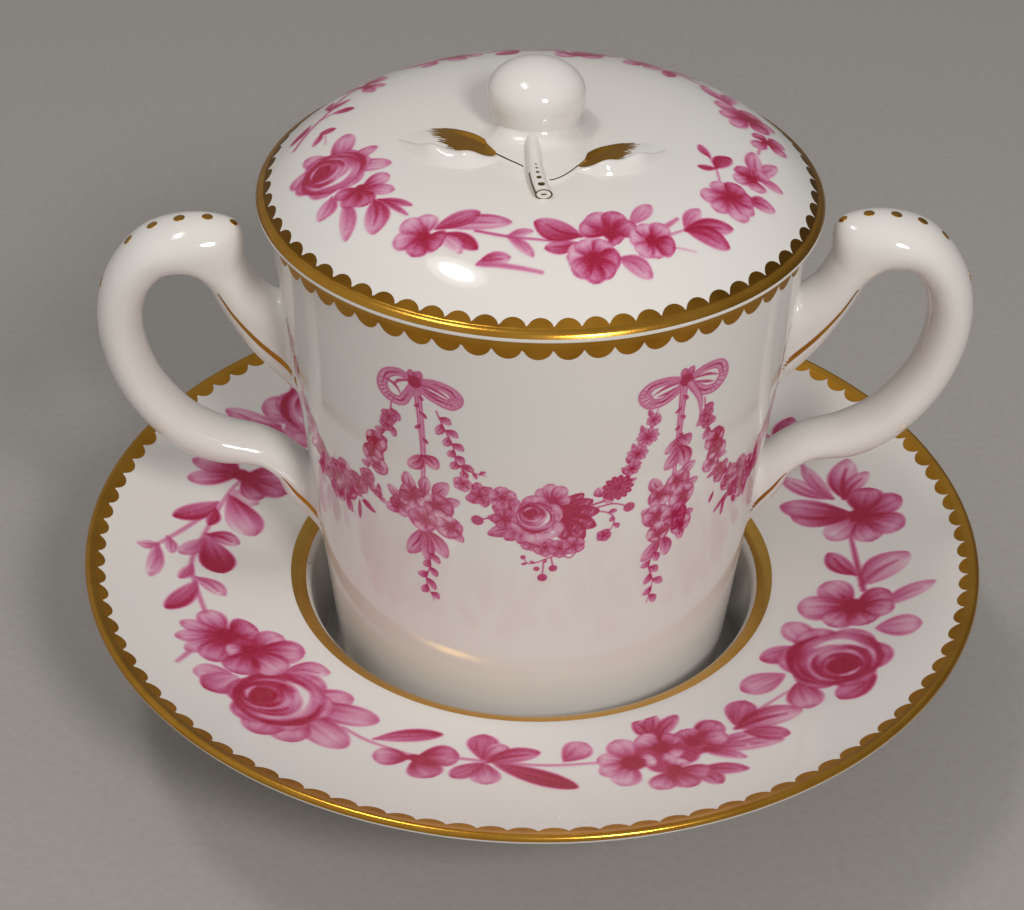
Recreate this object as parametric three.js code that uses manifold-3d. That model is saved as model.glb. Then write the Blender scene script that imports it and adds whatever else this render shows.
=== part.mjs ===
// A covered, two-handled porcelain cup that stands in the deep well of its saucer.
// Millimetres, +Z up. The origin is the centre of the saucer's foot ring, on the table.
// The handles lie along X, and the stalk on the lid points to the front, -Y.
import * as THREE from "three";
import { ParametricGeometry } from "three/addons/geometries/ParametricGeometry.js";
import { mergeVertices } from "three/addons/utils/BufferGeometryUtils.js";
import Module from "manifold-3d";

const wasm = await Module();
wasm.setup();

// Cup
const CUP_HEIGHT = 94.6;
const CUP_RIM_RADIUS = 43.7;
const CUP_BASE_RADIUS = 33.4; // the straight wall, carried down to the foot
const CUP_WALL = 3;
const CUP_FLOOR = 4.4;
const CUP_FOOT_RADIUS = 28.5;
const CUP_FOOT_WIDTH = 2.6;
const CUP_FOOT_RECESS = 1.3;
const CUP_FOOT_CURVE = 9; // height over which the wall turns in to the foot
const CUP_LIP_ROUND = 0.7;

// Saucer
const SAUCER_RADIUS = 77.5;
const SAUCER_HEIGHT = 33.8;
const SAUCER_WALL = 2.8;
const SAUCER_EDGE = 1.6; // thickness of the rim
const PLATE_RIM_IN = 11; // how the plate leaves the rim: this far in
const PLATE_RIM_DOWN = 4.6; // and this far down
const PLATE_FLAT = 10; // level stretch round the well
const SAUCER_FOOT_WIDTH = 2.8;
const SAUCER_FOOT_RECESS = 3;
const WELL_FLOOR_HEIGHT = 6;
const WELL_DEPTH = 20.2;
const WELL_GAP = 3.6; // from the cup's wall to the well's wall
const WELL_LIP_WIDTH = 5.2;
const WELL_LIP_DROP = 3.2;
const WELL_CORNER = 3;

// Lid
const LID_OVERHANG = 1.5;
const LID_EDGE = 0.7; // upright edge under the dome
const LID_RISE = 11.3; // from that edge to the crown
const LID_SHOULDER_IN = 5.6;
const LID_SHOULDER_UP = 4.4;
const LID_CROWN_PULL = 8.7; // how far in from the edge the crown's curve is drawn
const LID_WALL = 2.8;
const LID_RING_DEPTH = 6;
const LID_RING_WALL = 2.4;
const LID_RING_GAP = 0.4;

// Finial
const BUD_RADIUS = 7.75;
const BUD_HEIGHT = 10.9;
const BUD_BASE_RADIUS = 6;
const BUD_WAIST_HEIGHT = 5.6; // height of its widest ring
const BUD_SHIFT = -1; // set a little to the left of the lid's axis
const STALK_RADIUS = 1.4;
const STALK_LENGTH = 22.4; // from the lid's axis to the cut end
const STALK_SHIFT = -1.5; // beside the lid's axis, at the bud
const STALK_END_SHIFT = -0.8; // and at the cut end
const LEAF_REACH = 23; // from the lid's axis out to the longer leaf's tip
const LEAF_RELIEF = 1.3;

// Handles
const HANDLE_TOP_DROP = 8.6; // from the cup's rim down to the top of the path
const HANDLE_REACH = 27.4; // from the cup's wall out to the path's widest point
const HANDLE_LENGTH = 56; // from the path's top down to its lower end
const HANDLE_WIDTH = 12.8; // of the strap, where it is widest

// Slip seam between pieces that are stuck together
const SEAM = 0.3;

// Fineness of the facets
const SEGMENTS = 56;
const HANDLE_STEPS = 51;
const HANDLE_SIDES = 12;
const BUD_SEGMENTS = 28;

// Sizes that follow from these
const CUP_INNER_RIM_RADIUS = CUP_RIM_RADIUS - CUP_WALL;
const WELL_LIP_HEIGHT = WELL_FLOOR_HEIGHT + WELL_DEPTH;
const LID_RADIUS = CUP_RIM_RADIUS + LID_OVERHANG;
const LID_CROWN = LID_EDGE + LID_RISE;

// Outer radius of the cup's straight wall, at a height above its foot.
function cupWallRadius(height) {
  return CUP_BASE_RADIUS + ((CUP_RIM_RADIUS - CUP_BASE_RADIUS) * height) / CUP_HEIGHT;
}

// The lid's ring clears the tapered inside of the cup at the ring's lower end.
const LID_RING_RADIUS = cupWallRadius(CUP_HEIGHT - LID_RING_DEPTH) - CUP_WALL - LID_RING_GAP;
const LID_RING_BORE = LID_RING_RADIUS - LID_RING_WALL;

const at = (radius, height) => new THREE.Vector2(radius, height);

// Points of a smooth profile stretch, from its two ends and two control points.
function curve(start, startPull, endPull, end, steps) {
  return new THREE.CubicBezierCurve(start, startPull, endPull, end).getPoints(steps);
}

// The same stretch moved sideways by a wall thickness, to the right of its direction.
function offset(points, distance) {
  return points.map((point, i) => {
    const before = points[Math.max(i - 1, 0)];
    const after = points[Math.min(i + 1, points.length - 1)];
    const along = after.clone().sub(before).normalize();
    return at(point.x + along.y * distance, point.y - along.x * distance);
  });
}

// Turns a profile round the Z axis. Profiles run from the axis out, up and back to the axis.
function turned(profile, segments = SEGMENTS) {
  return new THREE.LatheGeometry(profile, segments).rotateX(Math.PI / 2);
}

// A closed geometry as a solid that can be joined and cut.
function solid(geometry) {
  const bare = geometry.clone();
  bare.deleteAttribute("normal");
  bare.deleteAttribute("uv");
  const merged = mergeVertices(bare, 1e-4);
  return new wasm.Manifold(
    new wasm.Mesh({
      numProp: 3,
      vertProperties: merged.attributes.position.array,
      triVerts: new Uint32Array(merged.index.array),
    }),
  );
}

// A solid back as a geometry with flat shading.
function shape(body) {
  const { vertProperties, triVerts } = body.getMesh();
  const geometry = new THREE.BufferGeometry();
  geometry.setAttribute("position", new THREE.BufferAttribute(vertProperties, 3));
  geometry.setIndex(new THREE.BufferAttribute(triVerts, 1));
  const faceted = geometry.toNonIndexed();
  faceted.computeVertexNormals();
  return faceted;
}

function glaze() {
  return new THREE.MeshStandardMaterial({ color: "#ece8e2", roughness: 0.12, metalness: 0 });
}

function piece(name, geometry) {
  const mesh = new THREE.Mesh(geometry, glaze());
  mesh.name = name;
  return mesh;
}

// Saucer: foot ring, well and the wide dished plate round it, from table height up.
function saucerGeometry() {
  const wellWall = (height) => cupWallRadius(height - WELL_FLOOR_HEIGHT) + WELL_GAP;
  const lipRadius = wellWall(WELL_LIP_HEIGHT) + WELL_LIP_WIDTH;
  const rimTop = at(SAUCER_RADIUS - SAUCER_EDGE / 2, SAUCER_HEIGHT);
  const plate = curve(
    rimTop,
    at(SAUCER_RADIUS - PLATE_RIM_IN, SAUCER_HEIGHT - PLATE_RIM_DOWN),
    at(lipRadius + PLATE_FLAT, WELL_LIP_HEIGHT),
    at(lipRadius, WELL_LIP_HEIGHT),
    9,
  );
  const lip = curve(
    at(lipRadius, WELL_LIP_HEIGHT),
    at(lipRadius - WELL_LIP_WIDTH * 0.55, WELL_LIP_HEIGHT),
    at(wellWall(WELL_LIP_HEIGHT), WELL_LIP_HEIGHT - WELL_LIP_DROP * 0.3),
    at(wellWall(WELL_LIP_HEIGHT - WELL_LIP_DROP), WELL_LIP_HEIGHT - WELL_LIP_DROP),
    4,
  );
  const cornerTop = WELL_FLOOR_HEIGHT + WELL_CORNER;
  const corner = curve(
    at(wellWall(cornerTop), cornerTop),
    at(wellWall(cornerTop), WELL_FLOOR_HEIGHT + WELL_CORNER * 0.45),
    at(wellWall(cornerTop) - WELL_CORNER * 0.55, WELL_FLOOR_HEIGHT),
    at(wellWall(cornerTop) - WELL_CORNER, WELL_FLOOR_HEIGHT),
    3,
  );
  const footOuter = wellWall(WELL_FLOOR_HEIGHT) + SAUCER_WALL;
  const footInner = footOuter - SAUCER_FOOT_WIDTH - 1;
  const underLip = at(wellWall(WELL_LIP_HEIGHT) + SAUCER_WALL, WELL_LIP_HEIGHT - 2.5 * WELL_LIP_DROP);
  const underPlate = offset(plate, -SAUCER_WALL).slice(1, -1).reverse();
  const underBend = curve(
    underLip,
    at(underLip.x + 0.4, WELL_LIP_HEIGHT - SAUCER_WALL),
    at(underLip.x + 2, underPlate[0].y),
    underPlate[0],
    4,
  );
  const rimUnder = at(SAUCER_RADIUS - SAUCER_EDGE / 2, SAUCER_HEIGHT - SAUCER_EDGE);
  return turned([
    at(0, SAUCER_FOOT_RECESS),
    at(footInner - 1, SAUCER_FOOT_RECESS),
    at(footInner, 0),
    at(footInner + SAUCER_FOOT_WIDTH, 0),
    at(footOuter, 1),
    ...underBend,
    ...underPlate.slice(1, -1),
    rimUnder,
    at(SAUCER_RADIUS, SAUCER_HEIGHT - SAUCER_EDGE * 0.6),
    at(SAUCER_RADIUS, SAUCER_HEIGHT - SAUCER_EDGE * 0.3),
    ...plate,
    ...lip.slice(1),
    ...corner,
    at(0, WELL_FLOOR_HEIGHT),
  ]);
}

// Cup: straight tapered wall on a small foot ring, open at the top, from its foot up.
function cupGeometry() {
  const footInner = CUP_FOOT_RADIUS - CUP_FOOT_WIDTH;
  const footCurve = curve(
    at(CUP_FOOT_RADIUS + 0.5, CUP_FOOT_RECESS * 0.5),
    at(cupWallRadius(0) - 1.5, CUP_FOOT_RECESS),
    at(cupWallRadius(CUP_FOOT_CURVE * 0.4), CUP_FOOT_CURVE * 0.4),
    at(cupWallRadius(CUP_FOOT_CURVE), CUP_FOOT_CURVE),
    5,
  );
  const insideRadius = (height) => cupWallRadius(height) - CUP_WALL;
  const insideTurn = CUP_FLOOR + CUP_FOOT_CURVE;
  const insideCurve = curve(
    at(insideRadius(insideTurn), insideTurn),
    at(insideRadius(CUP_FLOOR + CUP_FOOT_CURVE * 0.4), CUP_FLOOR + CUP_FOOT_CURVE * 0.4),
    at(insideRadius(CUP_FLOOR) - 3, CUP_FLOOR),
    at(insideRadius(CUP_FLOOR) - CUP_FOOT_CURVE, CUP_FLOOR),
    5,
  );
  const lipBase = CUP_HEIGHT - CUP_LIP_ROUND;
  return turned([
    at(0, CUP_FOOT_RECESS),
    at(footInner - 0.6, CUP_FOOT_RECESS),
    at(footInner, 0),
    at(CUP_FOOT_RADIUS, 0),
    ...footCurve,
    at(cupWallRadius(CUP_HEIGHT / 2), CUP_HEIGHT / 2),
    at(cupWallRadius(lipBase), lipBase),
    at(CUP_RIM_RADIUS - CUP_LIP_ROUND * 0.3, CUP_HEIGHT - CUP_LIP_ROUND * 0.3),
    at(CUP_RIM_RADIUS - CUP_LIP_ROUND, CUP_HEIGHT),
    at(CUP_INNER_RIM_RADIUS + CUP_LIP_ROUND, CUP_HEIGHT),
    at(CUP_INNER_RIM_RADIUS + CUP_LIP_ROUND * 0.3, CUP_HEIGHT - CUP_LIP_ROUND * 0.3),
    at(insideRadius(lipBase), lipBase),
    at(insideRadius(CUP_HEIGHT / 2), CUP_HEIGHT / 2),
    ...insideCurve,
    at(0, CUP_FLOOR),
  ]);
}

// Everything inside the cup's outer wall, grown by the slip seam.
function cupEnvelope() {
  return solid(
    turned([
      at(0, -CUP_FLOOR),
      at(cupWallRadius(-CUP_FLOOR) + SEAM, -CUP_FLOOR),
      at(cupWallRadius(CUP_HEIGHT) + SEAM, CUP_HEIGHT),
      at(0, CUP_HEIGHT),
    ]),
  );
}

// Path of a handle, from its upper root to its lower one. Each row says how far the point lies
// out from the cup's wall and down from the path's top, then the strap's thickness on the outer
// and on the inner side of the path, and its width.
const HANDLE_PATH = [
  [-4, 22, 5.5, 7.6, 8],
  [2.9, 15, 5.2, 5.8, 9.4],
  [6.5, 10.5, 3.9, 3.9, 9.8],
  [8.1, 4.4, 3.3, 3.3, 10.2],
  [8.7, 1.5, 4.8, 2.6, 11.2],
  [10.8, 0.1, 4.6, 3.2, 12.2],
  [14.2, 0, 4.1, 4.1, 12.8],
  [19.7, 1.8, 4, 4, 12.8],
  [24.3, 6.4, 3.8, 3.8, 12.4],
  [26.9, 12.5, 3.7, 3.7, 12],
  [27.4, 19.7, 3.6, 3.6, 11.4],
  [25.6, 27.4, 3.5, 3.5, 10.8],
  [20.8, 34.6, 3.4, 3.4, 10],
  [14.9, 38.3, 3.2, 3.2, 9.6],
  [8.2, 40.5, 3.2, 3.2, 9.4],
  [4.6, 43.6, 3.6, 3.6, 9.2],
  [2.3, 47.4, 4.1, 4.1, 8.8],
  [-4, 56, 4, 4, 7],
];

// The largest value in a column of the path's rows.
function pathMost(column) {
  return Math.max(...HANDLE_PATH.map((row) => row[column]));
}

// A column of the path's rows, at a share of the way along them.
function pathValue(column, share) {
  const place = share * (HANDLE_PATH.length - 1);
  const row = Math.min(Math.floor(place), HANDLE_PATH.length - 2);
  return THREE.MathUtils.lerp(HANDLE_PATH[row][column], HANDLE_PATH[row + 1][column], place - row);
}

// Handle on the +X side: an oval strap swept along its path and cut to the cup's wall.
function handleGeometry() {
  const pathTop = CUP_HEIGHT - HANDLE_TOP_DROP;
  const points = HANDLE_PATH.map(([out, down]) => {
    const height = pathTop - (down * HANDLE_LENGTH) / pathMost(1);
    return new THREE.Vector3(cupWallRadius(height) + (out * HANDLE_REACH) / pathMost(0), 0, height);
  });
  const section = HANDLE_WIDTH / pathMost(4);
  const path = new THREE.CatmullRomCurve3(points, false, "centripetal");
  const strap = new ParametricGeometry(
    (round, share, target) => {
      const centre = path.getPoint(share);
      const tangent = path.getTangent(share);
      const atEnd = share < 1e-6 || share > 1 - 1e-6;
      const turn = (round % 1) * 2 * Math.PI;
      const side = Math.cos(turn) < 0 ? 2 : 3;
      const inPlane = atEnd ? 0 : Math.cos(turn) * pathValue(side, share) * section;
      const across = atEnd ? 0 : (Math.sin(turn) * pathValue(4, share) * section) / 2;
      target.set(
        centre.x + tangent.z * inPlane,
        centre.y + across,
        centre.z - tangent.x * inPlane,
      );
    },
    HANDLE_SIDES,
    HANDLE_STEPS,
  );
  return shape(solid(strap).subtract(cupEnvelope()));
}

// Outer curve of the lid's dome, from its edge up to the flat crown under the bud.
function domeProfile() {
  return curve(
    at(LID_RADIUS, LID_EDGE),
    at(LID_RADIUS - LID_SHOULDER_IN, LID_EDGE + LID_SHOULDER_UP),
    at(LID_RADIUS - LID_CROWN_PULL, LID_CROWN),
    at(BUD_BASE_RADIUS + Math.abs(BUD_SHIFT) + SEAM, LID_CROWN),
    11,
  );
}

// Lid: a low dome over a locating ring that drops inside the cup's rim, from its seat up.
function lidGeometry() {
  const dome = domeProfile();
  const inside = offset(dome, -LID_WALL).filter((point) => point.x < LID_RING_BORE - 0.5);
  return turned([
    at(0, LID_CROWN - LID_WALL),
    ...inside.reverse(),
    at(LID_RING_BORE, inside[inside.length - 1].y - 1),
    at(LID_RING_BORE, -LID_RING_DEPTH),
    at(LID_RING_RADIUS, -LID_RING_DEPTH),
    at(LID_RING_RADIUS, 0),
    at(LID_RADIUS, 0),
    ...dome,
    at(0, LID_CROWN),
  ]);
}

// Everything under the dome, grown upwards, for cutting what lies on the lid.
function domeEnvelope(rise) {
  const raised = domeProfile().map((point) => at(point.x, point.y + rise));
  return solid(
    turned([
      at(0, -LID_RING_DEPTH),
      at(LID_RADIUS, -LID_RING_DEPTH),
      ...raised,
      at(0, LID_CROWN + rise),
    ]),
  );
}

// Bud: a round knob with a flattened top, drawn in to a narrower base, from its base up.
function budProfile(growth) {
  const base = BUD_BASE_RADIUS + growth;
  const radius = BUD_RADIUS + growth;
  const top = BUD_HEIGHT + growth;
  const lower = curve(
    at(base, 0),
    at(base + 0.3, BUD_WAIST_HEIGHT * 0.25),
    at(radius, BUD_WAIST_HEIGHT * 0.5),
    at(radius, BUD_WAIST_HEIGHT),
    5,
  );
  const upper = curve(
    at(radius, BUD_WAIST_HEIGHT),
    at(radius, BUD_WAIST_HEIGHT + (top - BUD_WAIST_HEIGHT) * 0.56),
    at(radius * 0.56, top),
    at(0, top),
    7,
  );
  return [at(0, 0), ...lower, ...upper.slice(1)];
}

function budGeometry() {
  return turned(budProfile(0), BUD_SEGMENTS);
}

// What the stalk and the leaves may not enter: the dome and the bud, each with its seam.
function lidSeat() {
  const bud = solid(turned(budProfile(SEAM), BUD_SEGMENTS).translate(BUD_SHIFT, 0, LID_CROWN));
  return domeEnvelope(SEAM).add(bud);
}

// Stalk: a round stem lying on the dome, from the bud to its cut end at the front.
function stalkGeometry() {
  const front = -STALK_LENGTH;
  const path = new THREE.CatmullRomCurve3([
    new THREE.Vector3(STALK_SHIFT, -BUD_BASE_RADIUS, LID_CROWN + STALK_RADIUS * 0.9),
    new THREE.Vector3(STALK_SHIFT, front * 0.6, LID_CROWN + STALK_RADIUS * 0.7),
    new THREE.Vector3(STALK_END_SHIFT, front, LID_CROWN + STALK_RADIUS * 0.4),
  ]);
  const section = new THREE.Shape().absarc(0, 0, STALK_RADIUS, 0, 2 * Math.PI);
  const stem = new THREE.ExtrudeGeometry(section, { steps: 10, curveSegments: 6, extrudePath: path });
  return shape(solid(stem).subtract(lidSeat()));
}

// Outlines of the two leaves seen from above: root, two pulls to the tip, tip, two pulls back.
const LEAF_OUTLINES = {
  left: [[-4, -12.2], [-9, -7], [-14, 3.5], [-23, -3], [-19, -13], [-10, -15]],
  right: [[1.6, -16], [6, -11], [11, -1.5], [19.5, -8], [16, -17], [8, -20]],
};

// Leaf: its outline raised a little from the dome.
function leafGeometry(side) {
  const reach = Math.max(...Object.values(LEAF_OUTLINES).flat(2).map(Math.abs));
  const points = LEAF_OUTLINES[side].map(([x, y]) => at(x, y).multiplyScalar(LEAF_REACH / reach));
  const [root, upperPull, upperPullTip, tip, lowerPullTip, lowerPull] = points;
  const outline = new THREE.Shape();
  outline.moveTo(root.x, root.y);
  outline.bezierCurveTo(upperPull.x, upperPull.y, upperPullTip.x, upperPullTip.y, tip.x, tip.y);
  outline.bezierCurveTo(lowerPullTip.x, lowerPullTip.y, lowerPull.x, lowerPull.y, root.x, root.y);
  const prism = new THREE.ExtrudeGeometry(outline, {
    depth: LID_CROWN + 2 * LEAF_RELIEF,
    bevelEnabled: false,
    curveSegments: 10,
  });
  return shape(solid(prism).intersect(domeEnvelope(SEAM + LEAF_RELIEF)).subtract(lidSeat()));
}

// The lid and what is stuck to it, with its seat at the group's origin.
const lid = new THREE.Group();
lid.add(piece("lid", lidGeometry()));
const bud = piece("finial_bud", budGeometry());
bud.position.set(BUD_SHIFT, 0, LID_CROWN);
lid.add(bud);
lid.add(piece("finial_stalk", stalkGeometry()));
lid.add(piece("finial_leaf_left", leafGeometry("left")));
lid.add(piece("finial_leaf_right", leafGeometry("right")));
lid.position.z = CUP_HEIGHT;

// The cup with its two handles and the lid on top, with its foot at the group's origin.
const cup = new THREE.Group();
cup.add(piece("cup_body", cupGeometry()));
const handle = handleGeometry();
cup.add(piece("handle_right", handle));
const handleLeft = piece("handle_left", handle);
handleLeft.rotation.z = Math.PI;
cup.add(handleLeft);
cup.add(lid);
cup.position.z = WELL_FLOOR_HEIGHT;

// The whole set on the table.
const trembleuse = new THREE.Group();
trembleuse.add(piece("saucer", saucerGeometry()));
trembleuse.add(cup);

export default trembleuse;
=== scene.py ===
import math

import bmesh
import bpy
import numpy as np
from mathutils import Matrix, Vector


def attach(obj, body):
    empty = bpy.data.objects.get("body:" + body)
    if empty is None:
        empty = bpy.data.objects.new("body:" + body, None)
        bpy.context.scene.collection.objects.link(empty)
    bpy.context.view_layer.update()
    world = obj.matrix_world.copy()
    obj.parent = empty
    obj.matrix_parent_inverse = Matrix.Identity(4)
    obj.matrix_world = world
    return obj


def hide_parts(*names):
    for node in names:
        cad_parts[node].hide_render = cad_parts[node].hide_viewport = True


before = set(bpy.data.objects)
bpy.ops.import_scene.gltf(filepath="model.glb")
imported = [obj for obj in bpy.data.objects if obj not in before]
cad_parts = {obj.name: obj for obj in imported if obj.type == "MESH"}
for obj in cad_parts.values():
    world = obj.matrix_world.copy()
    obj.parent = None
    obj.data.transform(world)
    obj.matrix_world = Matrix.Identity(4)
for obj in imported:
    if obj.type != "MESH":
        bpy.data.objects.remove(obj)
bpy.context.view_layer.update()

# Sizes in millimetres, as on the solids that the pieces stand for.
MM = 0.001
CUP_HEIGHT = 94.6
CUP_RIM_RADIUS = 43.7
CUP_BASE_RADIUS = 33.4
CUP_WALL = 3.0
CUP_FLOOR = 4.4
CUP_FOOT_RADIUS = 28.5
CUP_FOOT_WIDTH = 2.6
CUP_FOOT_RECESS = 1.3
CUP_FOOT_CURVE = 9.0
CUP_LIP_ROUND = 0.7
SAUCER_RADIUS = 77.5
SAUCER_HEIGHT = 33.8
SAUCER_WALL = 2.8
SAUCER_EDGE = 1.6
SAUCER_FOOT_WIDTH = 2.8
SAUCER_FOOT_RECESS = 3.0
PLATE_RIM_IN = 11.0
PLATE_RIM_DOWN = 4.6
PLATE_FLAT = 10.0
WELL_FLOOR_HEIGHT = 6.0
WELL_DEPTH = 20.2
WELL_GAP = 3.6
WELL_LIP_WIDTH = 5.2
WELL_LIP_DROP = 3.2
WELL_CORNER = 3.0
LID_OVERHANG = 1.5
LID_EDGE = 0.7
LID_RISE = 11.3
LID_SHOULDER_IN = 5.6
LID_SHOULDER_UP = 4.4
LID_CROWN_PULL = 8.7
LID_WALL = 2.8
LID_RING_DEPTH = 6.0
LID_RING_WALL = 2.4
LID_RING_GAP = 0.4
BUD_RADIUS = 7.75
BUD_HEIGHT = 10.9
BUD_BASE_RADIUS = 6.0
BUD_WAIST_HEIGHT = 5.6
BUD_SHIFT = -1.0
STALK_RADIUS = 1.4
STALK_LENGTH = 22.4
STALK_SHIFT = -1.5
STALK_END_SHIFT = -0.8
STALK_SWAY = 0.4
LEAF_RELIEF = 1.5
HANDLE_TOP_DROP = 8.6

CUP_FOOT_HEIGHT = WELL_FLOOR_HEIGHT
LID_SEAT = CUP_FOOT_HEIGHT + CUP_HEIGHT
WELL_LIP_HEIGHT = WELL_FLOOR_HEIGHT + WELL_DEPTH
LID_RADIUS = CUP_RIM_RADIUS + LID_OVERHANG
LID_CROWN = LID_SEAT + LID_EDGE + LID_RISE

# Fineness of the turned pieces, how far a fired skin lies above the glaze, and what counts as no length.
TURN_STEPS = 288
SKIN_LIFT = 0.03
NO_LENGTH = 1e-6


# Helpers for nodes and colours

def linear(code):
    """An sRGB hex colour as linear red, green, blue and alpha."""
    shares = [int(code[i:i + 2], 16) / 255 for i in (1, 3, 5)]
    return [s / 12.92 if s <= 0.04045 else ((s + 0.055) / 1.055) ** 2.4 for s in shares] + [1.0]


def add(tree, kind, inputs=None, stops=(), **settings):
    """Adds a node with its settings; an input is a value or a socket to link from, and stops fill a ramp."""
    made = tree.nodes.new(kind)
    for name, value in settings.items():
        setattr(made, name, value)
    for name, value in (inputs or {}).items():
        if isinstance(value, bpy.types.NodeSocket):
            tree.links.new(value, made.inputs[name])
        else:
            made.inputs[name].default_value = value
    for place, _ in stops[1:-1]:
        made.color_ramp.elements.new(place)
    for i, (place, code) in enumerate(stops):
        made.color_ramp.elements[i].position = place
        made.color_ramp.elements[i].color = linear(code)
    return made


def new_material(name):
    """An empty node material and its tree."""
    material = bpy.data.materials.new(name)
    material.use_nodes = True
    material.node_tree.nodes.clear()
    return material, material.node_tree


# Materials

GLAZE_ROUGHNESS = (0.05, 0.1)
GLAZE_IOR = 1.5
GLAZE_WHITE = "#E7E2DC"
GLAZE_COOL = "#E3E0DC"
KILN_SPECK = "#4A443E"
BURNISHED_ROUGHNESS = (0.14, 0.26)
MATT_ROUGHNESS = (0.36, 0.55)


def glaze_surface(tree, colour):
    """Clear glossy glaze over a colour: faint slow ripples and a little change of gloss."""
    place = add(tree, "ShaderNodeTexCoord").outputs["Object"]
    ripple_size = 9.0
    ripple_depth = 0.06
    noise = {"Vector": place, "Scale": 1 / (ripple_size * MM), "Detail": 1.0}
    height = add(tree, "ShaderNodeTexNoise", noise).outputs["Fac"]
    bump = add(tree, "ShaderNodeBump", {"Height": height, "Strength": 0.25, "Distance": ripple_depth * MM})
    low, high = GLAZE_ROUGHNESS
    gloss = add(tree, "ShaderNodeMapRange", {"Value": height, "To Min": low, "To Max": high})
    glaze = add(
        tree,
        "ShaderNodeBsdfPrincipled",
        {
            "Base Color": colour,
            "Roughness": gloss.outputs["Result"],
            "IOR": GLAZE_IOR,
            "Normal": bump.outputs["Normal"],
        },
    )
    add(tree, "ShaderNodeOutputMaterial", {"Surface": glaze.outputs["BSDF"]})


def clay_white(tree):
    """White of the fired clay under its glaze: slow warm and cool drifts and a few dark kiln specks."""
    place = add(tree, "ShaderNodeTexCoord").outputs["Object"]
    drift_size = 40.0
    drift = add(tree, "ShaderNodeTexNoise", {"Vector": place, "Scale": 1 / (drift_size * MM), "Detail": 2.0})
    whites = [(0.35, GLAZE_WHITE), (0.65, GLAZE_COOL)]
    white = add(tree, "ShaderNodeValToRGB", {"Fac": drift.outputs["Fac"]}, stops=whites)
    speck_spacing = 17.0
    speck_radius = 0.17
    cells = add(tree, "ShaderNodeTexVoronoi", {"Vector": place, "Scale": 1 / (speck_spacing * MM)})
    inside = add(
        tree,
        "ShaderNodeMath",
        {0: cells.outputs["Distance"], 1: speck_radius / speck_spacing},
        operation="LESS_THAN",
    )
    return add(
        tree,
        "ShaderNodeMix",
        {"Factor": inside.outputs["Value"], "A": white.outputs["Color"], "B": linear(KILN_SPECK)},
        data_type="RGBA",
    ).outputs["Result"]


def glazed_porcelain():
    """Hard white porcelain under a clear fired glaze: bright, smooth and sharply glossy."""
    material, tree = new_material("glazed_porcelain")
    glaze_surface(tree, clay_white(tree))
    return material


def fired_gilding(name, burnished, unburnished):
    """Gold fired on the glaze: burnished bright on the edges, left matt and darker in the scallops."""
    material, tree = new_material(name)
    place = add(tree, "ShaderNodeTexCoord").outputs["Object"]
    matt = add(tree, "ShaderNodeAttribute", attribute_name="matt").outputs["Fac"]
    # The grain of fired gold is too fine to show, so it is drawn as coarse as it needs to be.
    grain_size = 0.35
    grain_depth = 0.02
    cloud_size = 6.0
    noise = {"Vector": place, "Scale": 1 / (grain_size * MM), "Detail": 3.0}
    grain = add(tree, "ShaderNodeTexNoise", noise).outputs["Fac"]
    noise = {"Vector": place, "Scale": 1 / (cloud_size * MM), "Detail": 2.0}
    cloud = add(tree, "ShaderNodeTexNoise", noise).outputs["Fac"]
    bright, dull = (
        add(tree, "ShaderNodeValToRGB", {"Fac": cloud}, stops=[(0.3, dark), (0.7, light)]).outputs["Color"]
        for dark, light in (burnished, unburnished)
    )
    colour = add(tree, "ShaderNodeMix", {"Factor": matt, "A": bright, "B": dull}, data_type="RGBA")
    polish, tooth = (
        add(tree, "ShaderNodeMapRange", {"Value": grain, "To Min": low, "To Max": high}).outputs["Result"]
        for low, high in (BURNISHED_ROUGHNESS, MATT_ROUGHNESS)
    )
    roughness = add(tree, "ShaderNodeMix", {"Factor": matt, "A": polish, "B": tooth}, data_type="FLOAT")
    bump = add(tree, "ShaderNodeBump", {"Height": grain, "Strength": 0.3, "Distance": grain_depth * MM})
    gold = add(
        tree,
        "ShaderNodeBsdfPrincipled",
        {
            "Base Color": colour.outputs["Result"],
            "Metallic": 1.0,
            "Roughness": roughness.outputs["Result"],
            "Normal": bump.outputs["Normal"],
        },
    )
    add(tree, "ShaderNodeOutputMaterial", {"Surface": gold.outputs["BSDF"]})
    return material


def painted_enamel():
    """Pink enamel brushed thin on the glaze and fired: pale where the brush lifts, deep where it pools."""
    material, tree = new_material("painted_pink_enamel")
    place = add(tree, "ShaderNodeTexCoord").outputs["Object"]
    laid = add(tree, "ShaderNodeAttribute", attribute_name="pink").outputs["Fac"]
    # Enamel powder is finer than this, and its stipple is drawn as coarse as it needs to show.
    stipple_size = 0.3
    noise = {"Vector": place, "Scale": 1 / (stipple_size * MM), "Detail": 2.0}
    stipple = add(tree, "ShaderNodeTexNoise", noise)
    uneven = add(
        tree,
        "ShaderNodeMapRange",
        {"Value": stipple.outputs["Fac"], "From Min": 0.3, "From Max": 0.7, "To Min": 0.88, "To Max": 1.12},
    )
    pink = add(tree, "ShaderNodeMath", {0: laid, 1: uneven.outputs["Result"]}, operation="MULTIPLY")
    pinks = [(0.0, "#E2C4CE"), (0.28, "#D896B3"), (0.52, "#C5618D"), (0.78, "#B02B56"), (1.0, "#9E0C32")]
    pigment = add(tree, "ShaderNodeValToRGB", {"Fac": pink.outputs["Value"]}, stops=pinks)
    wet = add(tree, "ShaderNodeMapRange", {"Value": laid, "From Max": 0.16})
    colour = add(
        tree,
        "ShaderNodeMix",
        {"Factor": wet.outputs["Result"], "A": clay_white(tree), "B": pigment.outputs["Color"]},
        data_type="RGBA",
    )
    glaze_surface(tree, colour.outputs["Result"])
    return material


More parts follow.
